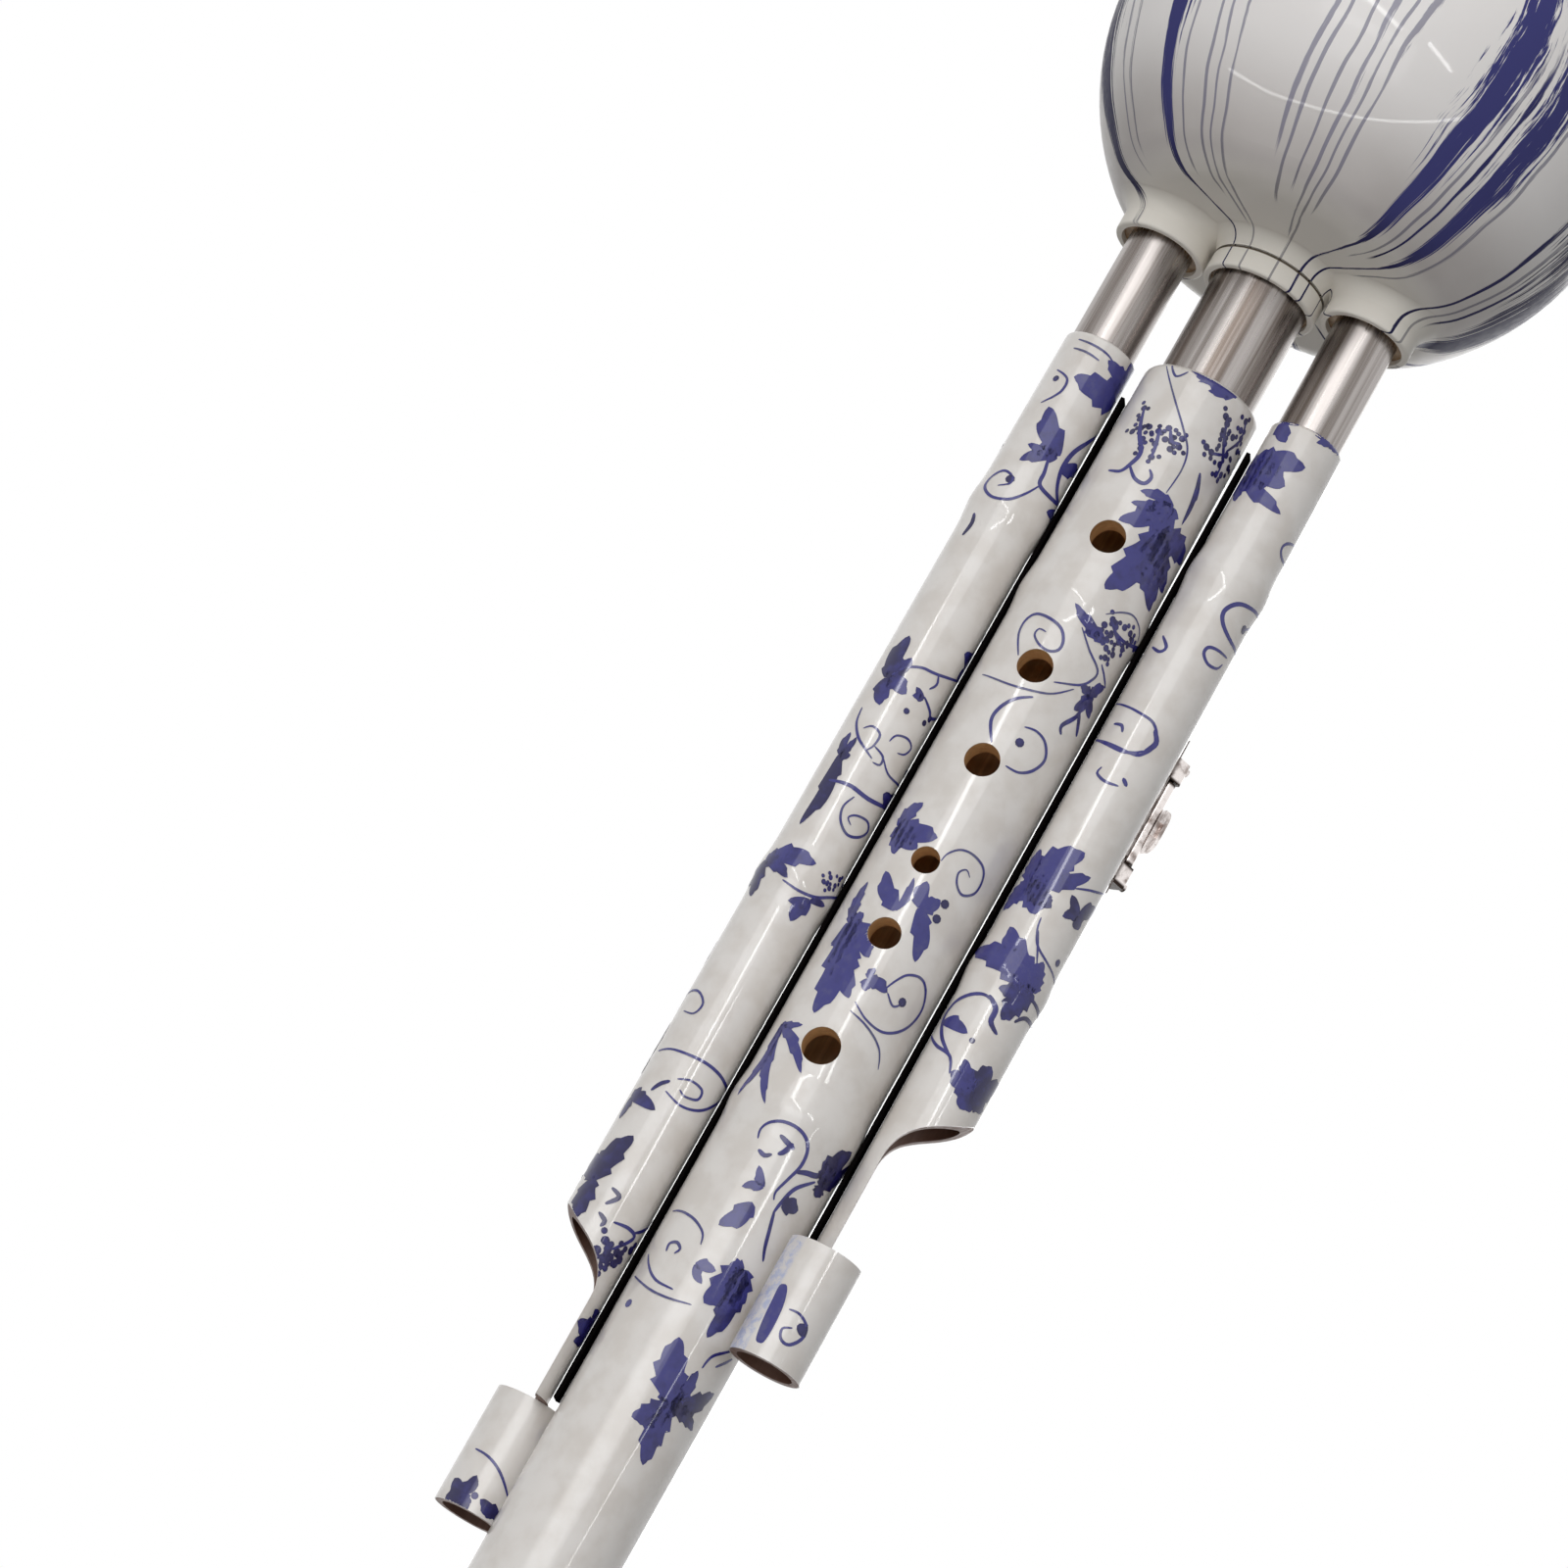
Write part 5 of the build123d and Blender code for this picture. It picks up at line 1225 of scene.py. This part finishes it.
class PrintSheet:
    """A vine drawn flat: mm round a film, mm up it, and an ink for every spot."""

    def __init__(self, radius: float, pen: Pen) -> None:
        """Starts an empty sheet.

        Args:
            radius: The film's outside radius in mm, which turns degrees into mm.
            pen: How the marks are drawn.
        """
        self.radius = radius
        self.pen = pen
        self.spots: list[Point2] = []
        self.inks: list[float] = []
        self.layers: list[int] = []
        self.faces: list[tuple[int, ...]] = []
        self.layer = 0

    def draw(self, mark: Mark, turn: float, shift: float) -> None:
        """Draws one mark.

        Args:
            mark: The leaf, stem or berries.
            turn: Degrees to move it round the film.
            shift: Millimetres to move it up the film.
        """
        self.layer += 1
        if isinstance(mark, Leaf):
            base = self._flat(mark.base, turn, shift)
            for number, (angle, height, width, ink) in enumerate(mark.blades):
                tip = self._flat((angle, height), turn, shift)
                half = self.pen.blade_width * width
                self._blade(base, tip, half, mark.teeth, ink, (-1) ** number)
        elif isinstance(mark, Stem):
            points = [self._flat(point, turn, shift) for point in mark.points]
            self._ribbon(points, mark.width, mark.ink)
        else:
            for number, point in enumerate(mark.points):
                middle = self._flat(point, turn, shift)
                self._disc(middle, self.pen.berry_size * mark.radius, mark.ink)
                if len(mark.points) >= self.pen.bunch:
                    self._small_berries(middle, self.pen.bunch_turn * number, mark)

    def _flat(self, point: Point2, turn: float, shift: float) -> Point2:
        """Turns degrees and mm into mm round and mm up."""
        return math.radians(point[0] + turn) * self.radius, point[1] + shift

    def _spot(self, across: float, height: float, ink: float) -> int:
        """Adds one spot and returns its number."""
        self.spots.append((across, height))
        self.inks.append(ink)
        self.layers.append(self.layer)
        return len(self.spots) - 1

    def _grid(self, rows: list[list[int]]) -> None:
        """Joins rows of spots with quads."""
        for low, high in zip(rows, rows[1:]):
            for number in range(len(low) - 1):
                self.faces.append((low[number + 1], low[number], high[number], high[number + 1]))

    def _blade(
        self, base: Point2, tip: Point2, width: float, teeth: int, ink: float, side: int
    ) -> None:
        """Draws a pointed blade with a toothed edge and a slight bend.

        Args:
            base: Where it springs from.
            tip: Its point.
            width: Its half width.
            teeth: Teeth along each side.
            ink: Its ink at the base, a little paler towards the tip.
            side: Which way it bends, 1 or -1.
        """
        pen = self.pen
        run, rise = tip[0] - base[0], tip[1] - base[1]
        length = math.hypot(run, rise)
        ahead, beside = (run / length, rise / length), (-rise / length, run / length)
        columns = 2 * max(1, math.ceil(width / pen.blade_column))
        steps = max(teeth * pen.tooth_rows, math.ceil(length / pen.blade_row))
        rows = []
        for step in range(steps + 1):
            share = step / steps
            along = min(1.0, share**pen.blade_lean * (1 - pen.blade_base) + pen.blade_base)
            swell = math.sin(math.pi * along) ** pen.blade_round
            bow = pen.blade_bend * length * math.sin(math.pi * share) * side
            row = []
            for column in range(columns + 1):
                place = 2 * column / columns - 1
                tooth = (share * teeth + (0.5 if place > 0 else 0.0)) % 1.0
                notch = pen.notch + pen.tooth * tooth**pen.hook
                reach = place * width * swell * notch + bow
                across = base[0] + ahead[0] * length * share + beside[0] * reach
                height = base[1] + ahead[1] * length * share + beside[1] * reach
                shade = ink + pen.blade_shade * (abs(place) - share)
                row.append(self._spot(across, height, shade))
            rows.append(row)
        self._grid(rows)

    def _ribbon(self, points: list[Point2], width: float, ink: float) -> None:
        """Draws a smooth line that is thin at both ends.

        Args:
            points: The points it runs through.
            width: Its half width.
            ink: Its ink.
        """
        pen = self.pen
        path = self._path(points)
        columns = math.ceil(width / pen.line_column)
        edges = [2 * column / columns - 1 for column in range(columns + 1)]
        rows = []
        for number, (across, height) in enumerate(path):
            near, far = path[max(number - 1, 0)], path[min(number + 1, len(path) - 1)]
            length = math.dist(near, far) or 1.0
            beside = ((near[1] - far[1]) / length, (far[0] - near[0]) / length)
            swell = math.sin(math.pi * (number / (len(path) - 1))) ** 0.5
            half = pen.line_width * width * (pen.line_end + (1 - pen.line_end) * swell)
            row = []
            for edge in edges:
                place = (across + beside[0] * half * edge, height + beside[1] * half * edge)
                row.append(self._spot(*place, ink))
            rows.append(row)
        self._grid(rows)

    def _path(self, points: list[Point2]) -> list[Point2]:
        """Returns close points on the smooth curve through the given ones."""
        ends = [points[0], *points, points[-1]]
        path = []
        for number in range(1, len(ends) - 2):
            before, start, end, after = ends[number - 1 : number + 3]
            steps = max(3, math.ceil(math.dist(start, end) / self.pen.line_row))
            for step in range(steps):
                path.append(self._curve(before, start, end, after, step / steps))
        path.append(points[-1])
        return path

    @staticmethod
    def _curve(before: Point2, start: Point2, end: Point2, after: Point2, share: float) -> Point2:
        """Finds a point of the smooth curve from start to end.

        Args:
            before: The point before the start.
            start: Where this stretch starts.
            end: Where it ends.
            after: The point after the end.
            share: How far along it, 0 to 1.

        Returns:
            The point.
        """
        result = []
        for first, second, third, fourth in zip(before, start, end, after):
            near, far = (third - first) / 2, (fourth - second) / 2
            cube = 2 * second - 2 * third + near + far
            square = 3 * third - 3 * second - 2 * near - far
            result.append(((cube * share + square) * share + near) * share + second)
        return result[0], result[1]

    def _disc(self, middle: Point2, radius: float, ink: float) -> None:
        """Draws a berry, a little darker round its rim."""
        sides = self.pen.berry_sides
        centre = self._spot(middle[0], middle[1], ink - self.pen.berry_shade)
        rim = []
        for number in range(sides):
            angle = math.tau * number / sides
            across = middle[0] + radius * math.cos(angle)
            height = middle[1] + radius * math.sin(angle)
            rim.append(self._spot(across, height, ink + self.pen.berry_shade))
        for number, spot in enumerate(rim):
            self.faces.append((centre, spot, rim[(number + 1) % sides]))

    def _small_berries(self, middle: Point2, turn: float, mark: Berries) -> None:
        """Draws the small berries beside one berry of a bunch.

        Args:
            middle: The berry's middle.
            turn: Where the first of them is, in radians.
            mark: The bunch.
        """
        least, more = self.pen.bunch_reach
        for side in self.pen.bunch_sides:
            angle, aside = turn + side, (least + more * side) * mark.radius
            across = middle[0] + aside * math.cos(angle)
            near = (across, middle[1] + aside * math.sin(angle))
            self._disc(near, self.pen.small_berry * mark.radius, mark.ink)


class FilmSurface:
    """The outside of one film, felt out with level rays towards its axis.

    Attributes:
        STAND_OFF: How far outside the film a ray starts, in mm.
        FEELER: How far a ray feels, in mm.
        STEEPEST: How much of a face's normal has to point outwards.
    """

    STAND_OFF = 3.0
    FEELER = 3.6
    STEEPEST = 0.5

    def __init__(self, film: bpy.types.Object, centre: Point2, radius: float) -> None:
        """Reads the film's mesh.

        Args:
            film: The film's node.
            centre: The place of its axis, in mm.
            radius: Its outside radius, in mm.
        """
        mesh = film.data
        self.centre = centre
        self.radius = radius
        self.tree = BVHTree.FromPolygons(
            [vertex.co.copy() for vertex in mesh.vertices],
            [tuple(polygon.vertices) for polygon in mesh.polygons],
        )

    def spot(self, across: float, height: float, lift: float) -> tuple[Vector, Vector] | None:
        """Finds a spot of the drawing on the film.

        Args:
            across: Millimetres round the film.
            height: Millimetres up it.
            lift: Millimetres to stand off.

        Returns:
            The point in metres and its normal, or None where the film is cut away.
        """
        angle = across / self.radius
        out = Vector((math.cos(angle), math.sin(angle), 0.0))
        axis = Vector((self.centre[0], self.centre[1], height))
        start = (axis + out * (self.radius + self.STAND_OFF)) * MM
        point, normal, _, _ = self.tree.ray_cast(start, -out, self.FEELER * MM)
        if point is None or normal.dot(out) < self.STEEPEST:
            return None
        level = math.sqrt(max(0.0, 1.0 - normal.z**2))
        smooth = Vector((out.x * level, out.y * level, normal.z))
        return point + out * lift * MM, smooth


class LaidPrint:
    """A flat drawing laid on its film, and trimmed where the film is cut away.

    Attributes:
        LAYER: How far each mark stands above the one drawn before it, in mm.
        LAYERS: After how many marks this starts again.
        HALVINGS: How often an edge is halved to find where the film ends.
    """

    LAYER = 0.0006
    LAYERS = 60
    HALVINGS = 6

    def __init__(self, sheet: PrintSheet, surface: FilmSurface, lift: float) -> None:
        """Lays the drawing.

        Args:
            sheet: The flat drawing.
            surface: The film's outside.
            lift: How far the ink stands off, in mm.
        """
        self.sheet = sheet
        self.surface = surface
        self.lift = lift
        self.points: list[Vector] = []
        self.normals: list[Vector] = []
        self.inks: list[float] = []
        self.faces: list[tuple[int, ...]] = []
        self.places: dict[int, int] = {}
        self.hits = [self._find(spot, layer) for spot, layer in zip(sheet.spots, sheet.layers)]
        for face in sheet.faces:
            landed = [spot for spot in face if self.hits[spot] is not None]
            if landed:
                self.faces.append(tuple(self._corner(spot, landed[0]) for spot in face))

    def _find(self, spot: Point2, layer: int) -> tuple[Vector, Vector] | None:
        """Returns a spot's point and normal on the film, or None where it is cut away."""
        return self.surface.spot(*spot, self.lift + self.LAYER * (layer % self.LAYERS))

    def _keep(self, result: tuple[Vector, Vector], ink: float) -> int:
        """Adds a point of the print and returns its number."""
        self.points.append(result[0])
        self.normals.append(result[1])
        self.inks.append(ink)
        return len(self.points) - 1

    def _corner(self, spot: int, anchor: int) -> int:
        """Finds one corner of a face, on the film's edge where the corner itself is off it.

        Args:
            spot: The corner's spot.
            anchor: A spot of the same face that is on the film.

        Returns:
            The number of the corner's point.
        """
        ink = self.sheet.inks[spot]
        if self.hits[spot] is not None:
            if spot not in self.places:
                self.places[spot] = self._keep(self.hits[spot], ink)
            return self.places[spot]
        near, far, best = self.sheet.spots[anchor], self.sheet.spots[spot], self.hits[anchor]
        for _ in range(self.HALVINGS):
            middle = ((near[0] + far[0]) / 2, (near[1] + far[1]) / 2)
            result = self._find(middle, self.sheet.layers[spot])
            if result is None:
                far = middle
            else:
                near, best = middle, result
        return self._keep(best, ink)


@dataclass(frozen=True)
class VinePrint:
    """The vine printed on one film, and again on the side away from the photograph.

    Attributes:
        name: The piece's name.
        film: The film's node.
        centre: The place of the film's axis, in mm.
        radius: The film's outside radius, in mm.
        low: The film's lower end, in mm.
        high: The film's upper end, in mm.
        marks: What is drawn.
        again: Millimetres that the second drawing is moved up, wrapping at the top.
        lift: How far the ink stands off, in mm.
        pen: How the marks are drawn.
    """

    name: str
    film: str
    centre: Point2
    radius: float
    low: float
    high: float
    marks: tuple[Mark, ...]
    again: float = 70.0
    lift: float = 0.05
    pen: Pen = Pen()

    def build(self, body: Body) -> bpy.types.Object:
        """Builds the print on its film.

        Args:
            body: The body that the film rides on.

        Returns:
            The print.
        """
        surface = FilmSurface(body.nodes[self.film], self.centre, self.radius)
        laid = LaidPrint(self._drawn(), surface, self.lift)
        piece = body.add_mesh(self.name, laid.points, laid.faces)
        depth = piece.data.attributes.new(INK_DEPTH, "FLOAT", "POINT")
        depth.data.foreach_set("value", [min(1.0, max(0.0, ink)) for ink in laid.inks])
        piece.data.normals_split_custom_set_from_vertices(laid.normals)
        piece.data.materials.append(body.finishes.ink)
        LOG.info("%s: %d faces on %s", self.name, len(laid.faces), self.film)
        return piece

    def _drawn(self) -> PrintSheet:
        """Returns the flat drawing: every mark, and every mark again half a turn on."""
        sheet = PrintSheet(self.radius, self.pen)
        for mark in self.marks:
            sheet.draw(mark, 0.0, 0.0)
        for mark in self.marks:
            height = mark.base[1] if isinstance(mark, Leaf) else mark.points[0][1]
            wrapped = self.low + (height + self.again - self.low) % (self.high - self.low)
            sheet.draw(mark, 180.0, wrapped - height)
        return sheet


@dataclass
class MelodyPipe:
    """The fingered pipe in the middle, with its film, its print and the dark strips of painted
    shade.
    """

    body: Body
    vine: VinePrint = VinePrint(
        "main_pipe_print", "main_pipe_film", (0.0, 0.0), 12.0, 0.0, 265.0, MAIN_MARKS
    )

    def build(self) -> None:
        """Dresses the pipe and prints its film."""
        self.body.dress_nodes(tuple(self.body.nodes))
        self.vine.build(self.body)


@dataclass
class DronePipe:
    """One drone with its cut-away foot and tail ring, each with its own print."""

    body: Body
    prints: tuple[VinePrint, ...]

    def build(self) -> None:
        """Dresses the drone and prints its films."""
        self.body.dress_nodes(tuple(self.body.nodes))
        for vine in self.prints:
            vine.build(self.body)


LEFT_PRINTS = (
    VinePrint(
        "left_drone_print", "left_drone_film", (-21.2, 0.0), 7.35, 42.8, 265.0, LEFT_MARKS
    ),
    VinePrint(
        "left_ring_print", "left_ring_film", (-17.967, 7.318), 6.9, 20.4, 42.8, LEFT_RING_MARKS, 0.0
    ),
)
RIGHT_PRINTS = (
    VinePrint(
        "right_drone_print", "right_drone_film", (21.2, 0.0), 7.35, 86.6, 265.0, RIGHT_MARKS
    ),
    VinePrint(
        "right_ring_print", "right_ring_film", (17.967, -7.318), 6.9, 64.2, 86.6,
        RIGHT_RING_MARKS, 0.0,
    ),
)


@dataclass(frozen=True)
class GourdProfile:
    """The lower part of the gourd's outside: a flat base, a round and the lobe.

    Attributes:
        base: The height of the flat base, in mm.
        flat: The flat base's radius, in mm.
        round: The radius of the round beside it, in mm.
        limit: How far out on the round a height is still taken, as a share of its radius.
    """

    base: float = 295.0
    flat: float = 26.6
    round: float = 14.0
    limit: float = 0.99

    def underside(self, distance: float) -> float:
        """Returns the height of the gourd's underside at a distance from its axis, in mm."""
        if distance <= self.flat:
            return self.base
        beyond = min(distance - self.flat, self.round * self.limit)
        return self.base + self.round - math.sqrt(self.round**2 - beyond**2)


@dataclass(frozen=True)
class CollarSkirt:
    """The hollow sweep where a collar runs out into the gourd.

    Attributes:
        name: The piece's name.
        centre: The collar's place along X, in mm.
        radius: The collar's outside radius, in mm.
        sweep: The radius of the sweep, in mm.
        turns: Points round the collar.
        steps: Points across the sweep.
        gap: How far the sweep stands off the collar, in mm.
        lift: How far it stands off the gourd, in mm.
    """

    name: str
    centre: float
    radius: float
    sweep: float = 3.0
    turns: int = 120
    steps: int = 10
    gap: float = 0.03
    lift: float = 0.04

    def build(self, body: Body, profile: GourdProfile) -> bpy.types.Object:
        """Builds the sweep against the gourd's underside.

        Args:
            body: The body it rides on.
            profile: The gourd's underside.

        Returns:
            The sweep.
        """
        points: list[Vector] = []
        for turn in range(self.turns):
            angle = math.tau * turn / self.turns
            for step in range(self.steps + 1):
                lean = math.pi / 2 * step / self.steps
                out = self.radius + self.gap + self.sweep * (1 - math.cos(lean))
                drop = self.sweep * (1 - math.sin(lean)) + self.lift
                x = self.centre + out * math.cos(angle)
                y = out * math.sin(angle)
                z = profile.underside(math.hypot(x, y)) - drop
                points.append(Vector((x, y, z)) * MM)
        row = self.steps + 1
        faces = []
        for turn in range(self.turns):
            here, there = turn * row, (turn + 1) % self.turns * row
            for step in range(self.steps):
                faces.append((here + step, here + step + 1, there + step + 1, there + step))
        skirt = body.add_mesh(self.name, points, faces)
        body.finishes.dress(skirt, Slot.GOURD)
        return skirt


@dataclass
class Gourd:
    """The gourd with its collars, bushes, tubes, reeds and mouthpiece."""

    body: Body
    profile: GourdProfile = GourdProfile()
    skirts: tuple[CollarSkirt, ...] = (
        CollarSkirt("main_collar_sweep", 0.0, 11.4),
        CollarSkirt("left_collar_sweep", -21.2, 9.1),
        CollarSkirt("right_collar_sweep", 21.2, 9.1),
    )

    def build(self) -> None:
        """Dresses the gourd's nodes and adds the sweep above each collar."""
        self.body.dress_nodes(tuple(self.body.nodes))
        for skirt in self.skirts:
            skirt.build(self.body, self.profile)
            LOG.info("gourd: %s added", skirt.name)


def around(azimuth: float, distance: float, height: float) -> Vector:
    """Returns a place round the part, in degrees from the front and metres."""
    turn = math.radians(azimuth)
    return Vector((distance * math.sin(turn), -distance * math.cos(turn), height))


@dataclass(frozen=True)
class Lamp:
    """One rectangular lamp that faces the middle of the part.

    Attributes:
        name: The lamp's name.
        place: Where it hangs, in metres.
        size: Its width and height in metres.
        power: Its power in watts.
        roll: Its turn about its own beam, in degrees.
    """

    name: str
    place: Vector
    size: Point2
    power: float
    roll: float = 0.0


@dataclass
class Studio:
    """Camera, lamps and pale floor, placed as the photograph was taken.

    Attributes:
        azimuth: The camera's angle round the part from the front, in degrees.
        elevation: The camera's angle above the horizon, in degrees.
        distance: From the aim to the camera, in metres.
        aim_height: The height on the melody pipe that the picture's centre looks at.
        aside: How far the centre is to the left of the melody pipe, in metres.
        lean: How far the pipe leans clockwise in the picture, in degrees.
        focus: The lens in millimetres.
        sensor: The picture's width at the lens in millimetres.
        clip: The nearest and the farthest that the camera sees, in metres.
        middle_height: The height that the lamps face, in metres.
        lamps: The two strips for the pipes' glints, and the broad lamps round the part.
        arc: The ends of the thin lamps whose reflection is the gourd's bright arc, in
            degrees from the front and metres up.
        arc_distance: How far off the arc is, in metres.
        arc_width: The width of its lamps in metres.
        arc_radiance: Their radiance in watts to the square metre and steradian, over pi.
        lobe_height: The height that they face, in metres.
        dark_side: The direction in which the surround lights least.
        dark_zone: How far towards it the light starts and ends to fall off, -1 to 1.
        bright_level: The surround's strength on its bright side.
        dark_level: Its strength on its dark side.
        floor_height: The floor's height in metres.
        floor_reach: Half the floor's width in metres.
        floor_white: The floor's pale patches.
        floor_grey: Its duller patches.
        floor_bounce: Its colour for the light that it sends on to the part.
        floor_glow: Its own light, where it is looked at.
    """

    azimuth: float = 15.5
    elevation: float = -17.0
    distance: float = 0.9
    aim_height: float = 0.16
    aside: float = 0.0315
    lean: float = 29.95
    focus: float = 115.63
    sensor: float = 36.0
    clip: Range = (0.05, 20.0)
    middle_height: float = 0.2
    lamps: tuple[Lamp, ...] = (
        Lamp("key_strip", around(-5.0, 1.2, 0.52), (0.72, 0.04), 0.9, roll=-18.0),
        Lamp("low_strip", around(29.0, 1.2, 0.38), (0.3, 0.035), 0.4, roll=-18.0),
        Lamp("front_bank", around(-4.0, 1.5, 0.75), (1.1, 1.1), 6.0),
        Lamp("low_bank", around(2.0, 1.2, 0.15), (0.8, 0.4), 1.5),
        Lamp("back_bank", around(178.0, 1.5, 0.45), (1.1, 1.1), 4.5),
        Lamp("top_bank", Vector((-0.1, -0.4, 1.5)), (1.0, 1.0), 3.5),
    )
    arc: tuple[Point2, ...] = (
        (-56.0, -0.018), (-34.0, -0.192), (-7.0, -0.239), (13.0, -0.175),
        (27.0, -0.077), (40.0, 0.057), (51.0, 0.201),
    )
    arc_distance: float = 0.72
    arc_width: float = 0.016
    arc_radiance: float = 3.0
    lobe_height: float = 0.31
    dark_side: tuple[float, float, float] = (0.93, 0.26, -0.26)
    dark_zone: Range = (-0.3, 0.8)
    bright_level: float = 0.52
    dark_level: float = 0.12
    floor_height: float = -0.32
    floor_reach: float = 6.0
    floor_white: Colour = tint(0.9, 0.9, 0.9)
    floor_grey: Colour = tint(0.86, 0.86, 0.86)
    floor_bounce: Colour = tint(0.30, 0.30, 0.30)
    floor_glow: float = 0.5

    def build(self) -> None:
        """Builds the camera, the lamps, the world and the floor."""
        self._camera()
        for lamp in self.lamps:
            self._lamp(lamp)
        self._arc()
        self._world()
        self._floor()
        bpy.context.scene.view_settings.view_transform = "Standard"
        LOG.info("studio: camera, lamps, world and floor are in place")

    def _axes(self) -> tuple[Vector, Vector, Vector]:
        """Returns the camera's right, up and backward directions before it is rolled."""
        turn, rise = math.radians(self.azimuth), math.radians(self.elevation)
        right = Vector((math.cos(turn), math.sin(turn), 0.0))
        level = Vector((math.sin(turn), -math.cos(turn), 0.0))
        back = level * math.cos(rise) + Vector((0.0, 0.0, math.sin(rise)))
        return right, back.cross(right), back

    def _camera(self) -> None:
        """Adds the camera."""
        right, up, back = self._axes()
        data = bpy.data.cameras.new("camera")
        data.sensor_width = self.sensor
        data.lens = self.focus
        data.clip_start, data.clip_end = self.clip
        camera = bpy.data.objects.new("camera", data)
        aim = Vector((0.0, 0.0, self.aim_height)) - right * self.aside
        frame = Matrix((right, up, back)).transposed().to_4x4()
        roll = Matrix.Rotation(math.radians(self.lean), 4, "Z")
        camera.matrix_world = Matrix.Translation(aim + back * self.distance) @ frame @ roll
        bpy.context.scene.collection.objects.link(camera)
        bpy.context.scene.camera = camera

    def _panel(self, name: str, size: Point2, power: float) -> bpy.types.Object:
        """Adds a rectangular lamp that has still to be placed.

        Args:
            name: The lamp's name.
            size: Its width and height in metres.
            power: Its power in watts.

        Returns:
            The lamp.
        """
        data = bpy.data.lights.new(name, "AREA")
        data.shape = "RECTANGLE"
        data.size, data.size_y = size
        data.energy = power
        panel = bpy.data.objects.new(name, data)
        bpy.context.scene.collection.objects.link(panel)
        return panel

    def _lamp(self, lamp: Lamp) -> None:
        """Hangs one lamp so that it faces the middle of the part."""
        panel = self._panel(lamp.name, lamp.size, lamp.power)
        panel.rotation_mode = "QUATERNION"
        middle = Vector((0.0, 0.0, self.middle_height))
        aim = (middle - lamp.place).to_track_quat("-Z", "Y").to_matrix().to_4x4()
        spin = Matrix.Rotation(math.radians(lamp.roll), 4, "Z")
        panel.matrix_world = Matrix.Translation(lamp.place) @ aim @ spin

    def _arc(self) -> None:
        """Adds the arc of thin lamps below the camera, each from one end to the next."""
        lobe = Vector((0.0, 0.0, self.lobe_height))
        ends = [around(azimuth, self.arc_distance, height) for azimuth, height in self.arc]
        for number, (start, end) in enumerate(zip(ends, ends[1:])):
            place, reach = (start + end) / 2, end - start
            panel = self._panel(f"arc_{number}", (reach.length, self.arc_width), 0.0)
            strength = self.arc_radiance * math.pi**2
            panel.data.energy = strength * panel.data.size * panel.data.size_y
            back, along = (place - lobe).normalized(), reach.normalized()
            beside = back.cross(along).normalized()
            frame = Matrix((along, beside, along.cross(beside))).transposed().to_4x4()
            panel.matrix_world = Matrix.Translation(place) @ frame

    def _world(self) -> None:
        """Adds a white surround to look at, and a dimmer one-sided one to light by."""
        world = bpy.data.worlds.new("surround")
        world.use_nodes = True
        tree = NodeTree(world.node_tree)
        seen, lit = tree.add("ShaderNodeBackground"), tree.add("ShaderNodeBackground")
        for background in (seen, lit):
            background.inputs["Color"].default_value = tint(1.0, 1.0, 1.0)
        towards = tree.add("ShaderNodeVectorMath")
        towards.operation = "DOT_PRODUCT"
        tree.join(tree.add("ShaderNodeTexCoord").outputs["Generated"], towards.inputs[0])
        towards.inputs[1].default_value = self.dark_side
        levels = (*self.dark_zone, self.bright_level, self.dark_level)
        strength = tree.spread(towards.outputs["Value"], *levels, smooth=False)
        tree.join(strength, lit.inputs["Strength"])
        mix = tree.add("ShaderNodeMixShader")
        for number, source in enumerate((tree.shown(), lit.outputs[0], seen.outputs[0])):
            tree.join(source, mix.inputs[number])
        tree.join(mix.outputs[0], tree.add("ShaderNodeOutputWorld").inputs["Surface"])
        bpy.context.scene.world = world

    def _floor(self) -> None:
        """Adds the pale floor below the part."""
        reach, height = self.floor_reach, self.floor_height
        sides = ((-reach, -reach), (reach, -reach), (reach, reach), (-reach, reach))
        mesh = bpy.data.meshes.new("floor")
        mesh.from_pydata([(x, y, height) for x, y in sides], [], [(0, 1, 2, 3)])
        floor = bpy.data.objects.new("floor", mesh)
        bpy.context.scene.collection.objects.link(floor)
        sheet = NodeSheet("floor_paper")
        patches = sheet.spread(sheet.noise(3.0, detail=2.0), 0.3, 0.7)
        paper = sheet.blend(patches, self.floor_white, self.floor_grey)
        shown = sheet.shown()
        sheet.paint(sheet.blend(shown, self.floor_bounce, paper))
        sheet.join(paper, sheet.shader.inputs["Emission Color"])
        glow = sheet.math("MULTIPLY", shown, self.floor_glow)
        sheet.join(glow, sheet.shader.inputs["Emission Strength"])
        sheet.constants(Roughness=0.9)
        mesh.materials.append(sheet.material)


def main() -> None:
    """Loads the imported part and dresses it."""
    logging.basicConfig(level=logging.INFO, format="%(name)s: %(message)s")
    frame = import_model()
    record = frame["record"]
    slots = {part["node"]: part["material_slot"] for part in record["subparts"]}
    finishes = Finishes()
    bodies = {
        name: Body(name, {node: frame["nodes"][node] for node in nodes}, slots, finishes)
        for name, nodes in record["behaviour"]["bodies"].items()
    }
    Gourd(bodies["gourd"]).build()
    MelodyPipe(bodies["melody_pipe"]).build()
    DronePipe(bodies["left_drone_pipe"], LEFT_PRINTS).build()
    DronePipe(bodies["right_drone_pipe"], RIGHT_PRINTS).build()
    for name in ("key_lever", "main_reed", "left_reed", "right_reed"):
        bodies[name].dress_nodes(tuple(bodies[name].nodes))
    Studio().build()
    LOG.info("boxes written")


if __name__ == "__main__":
    main()
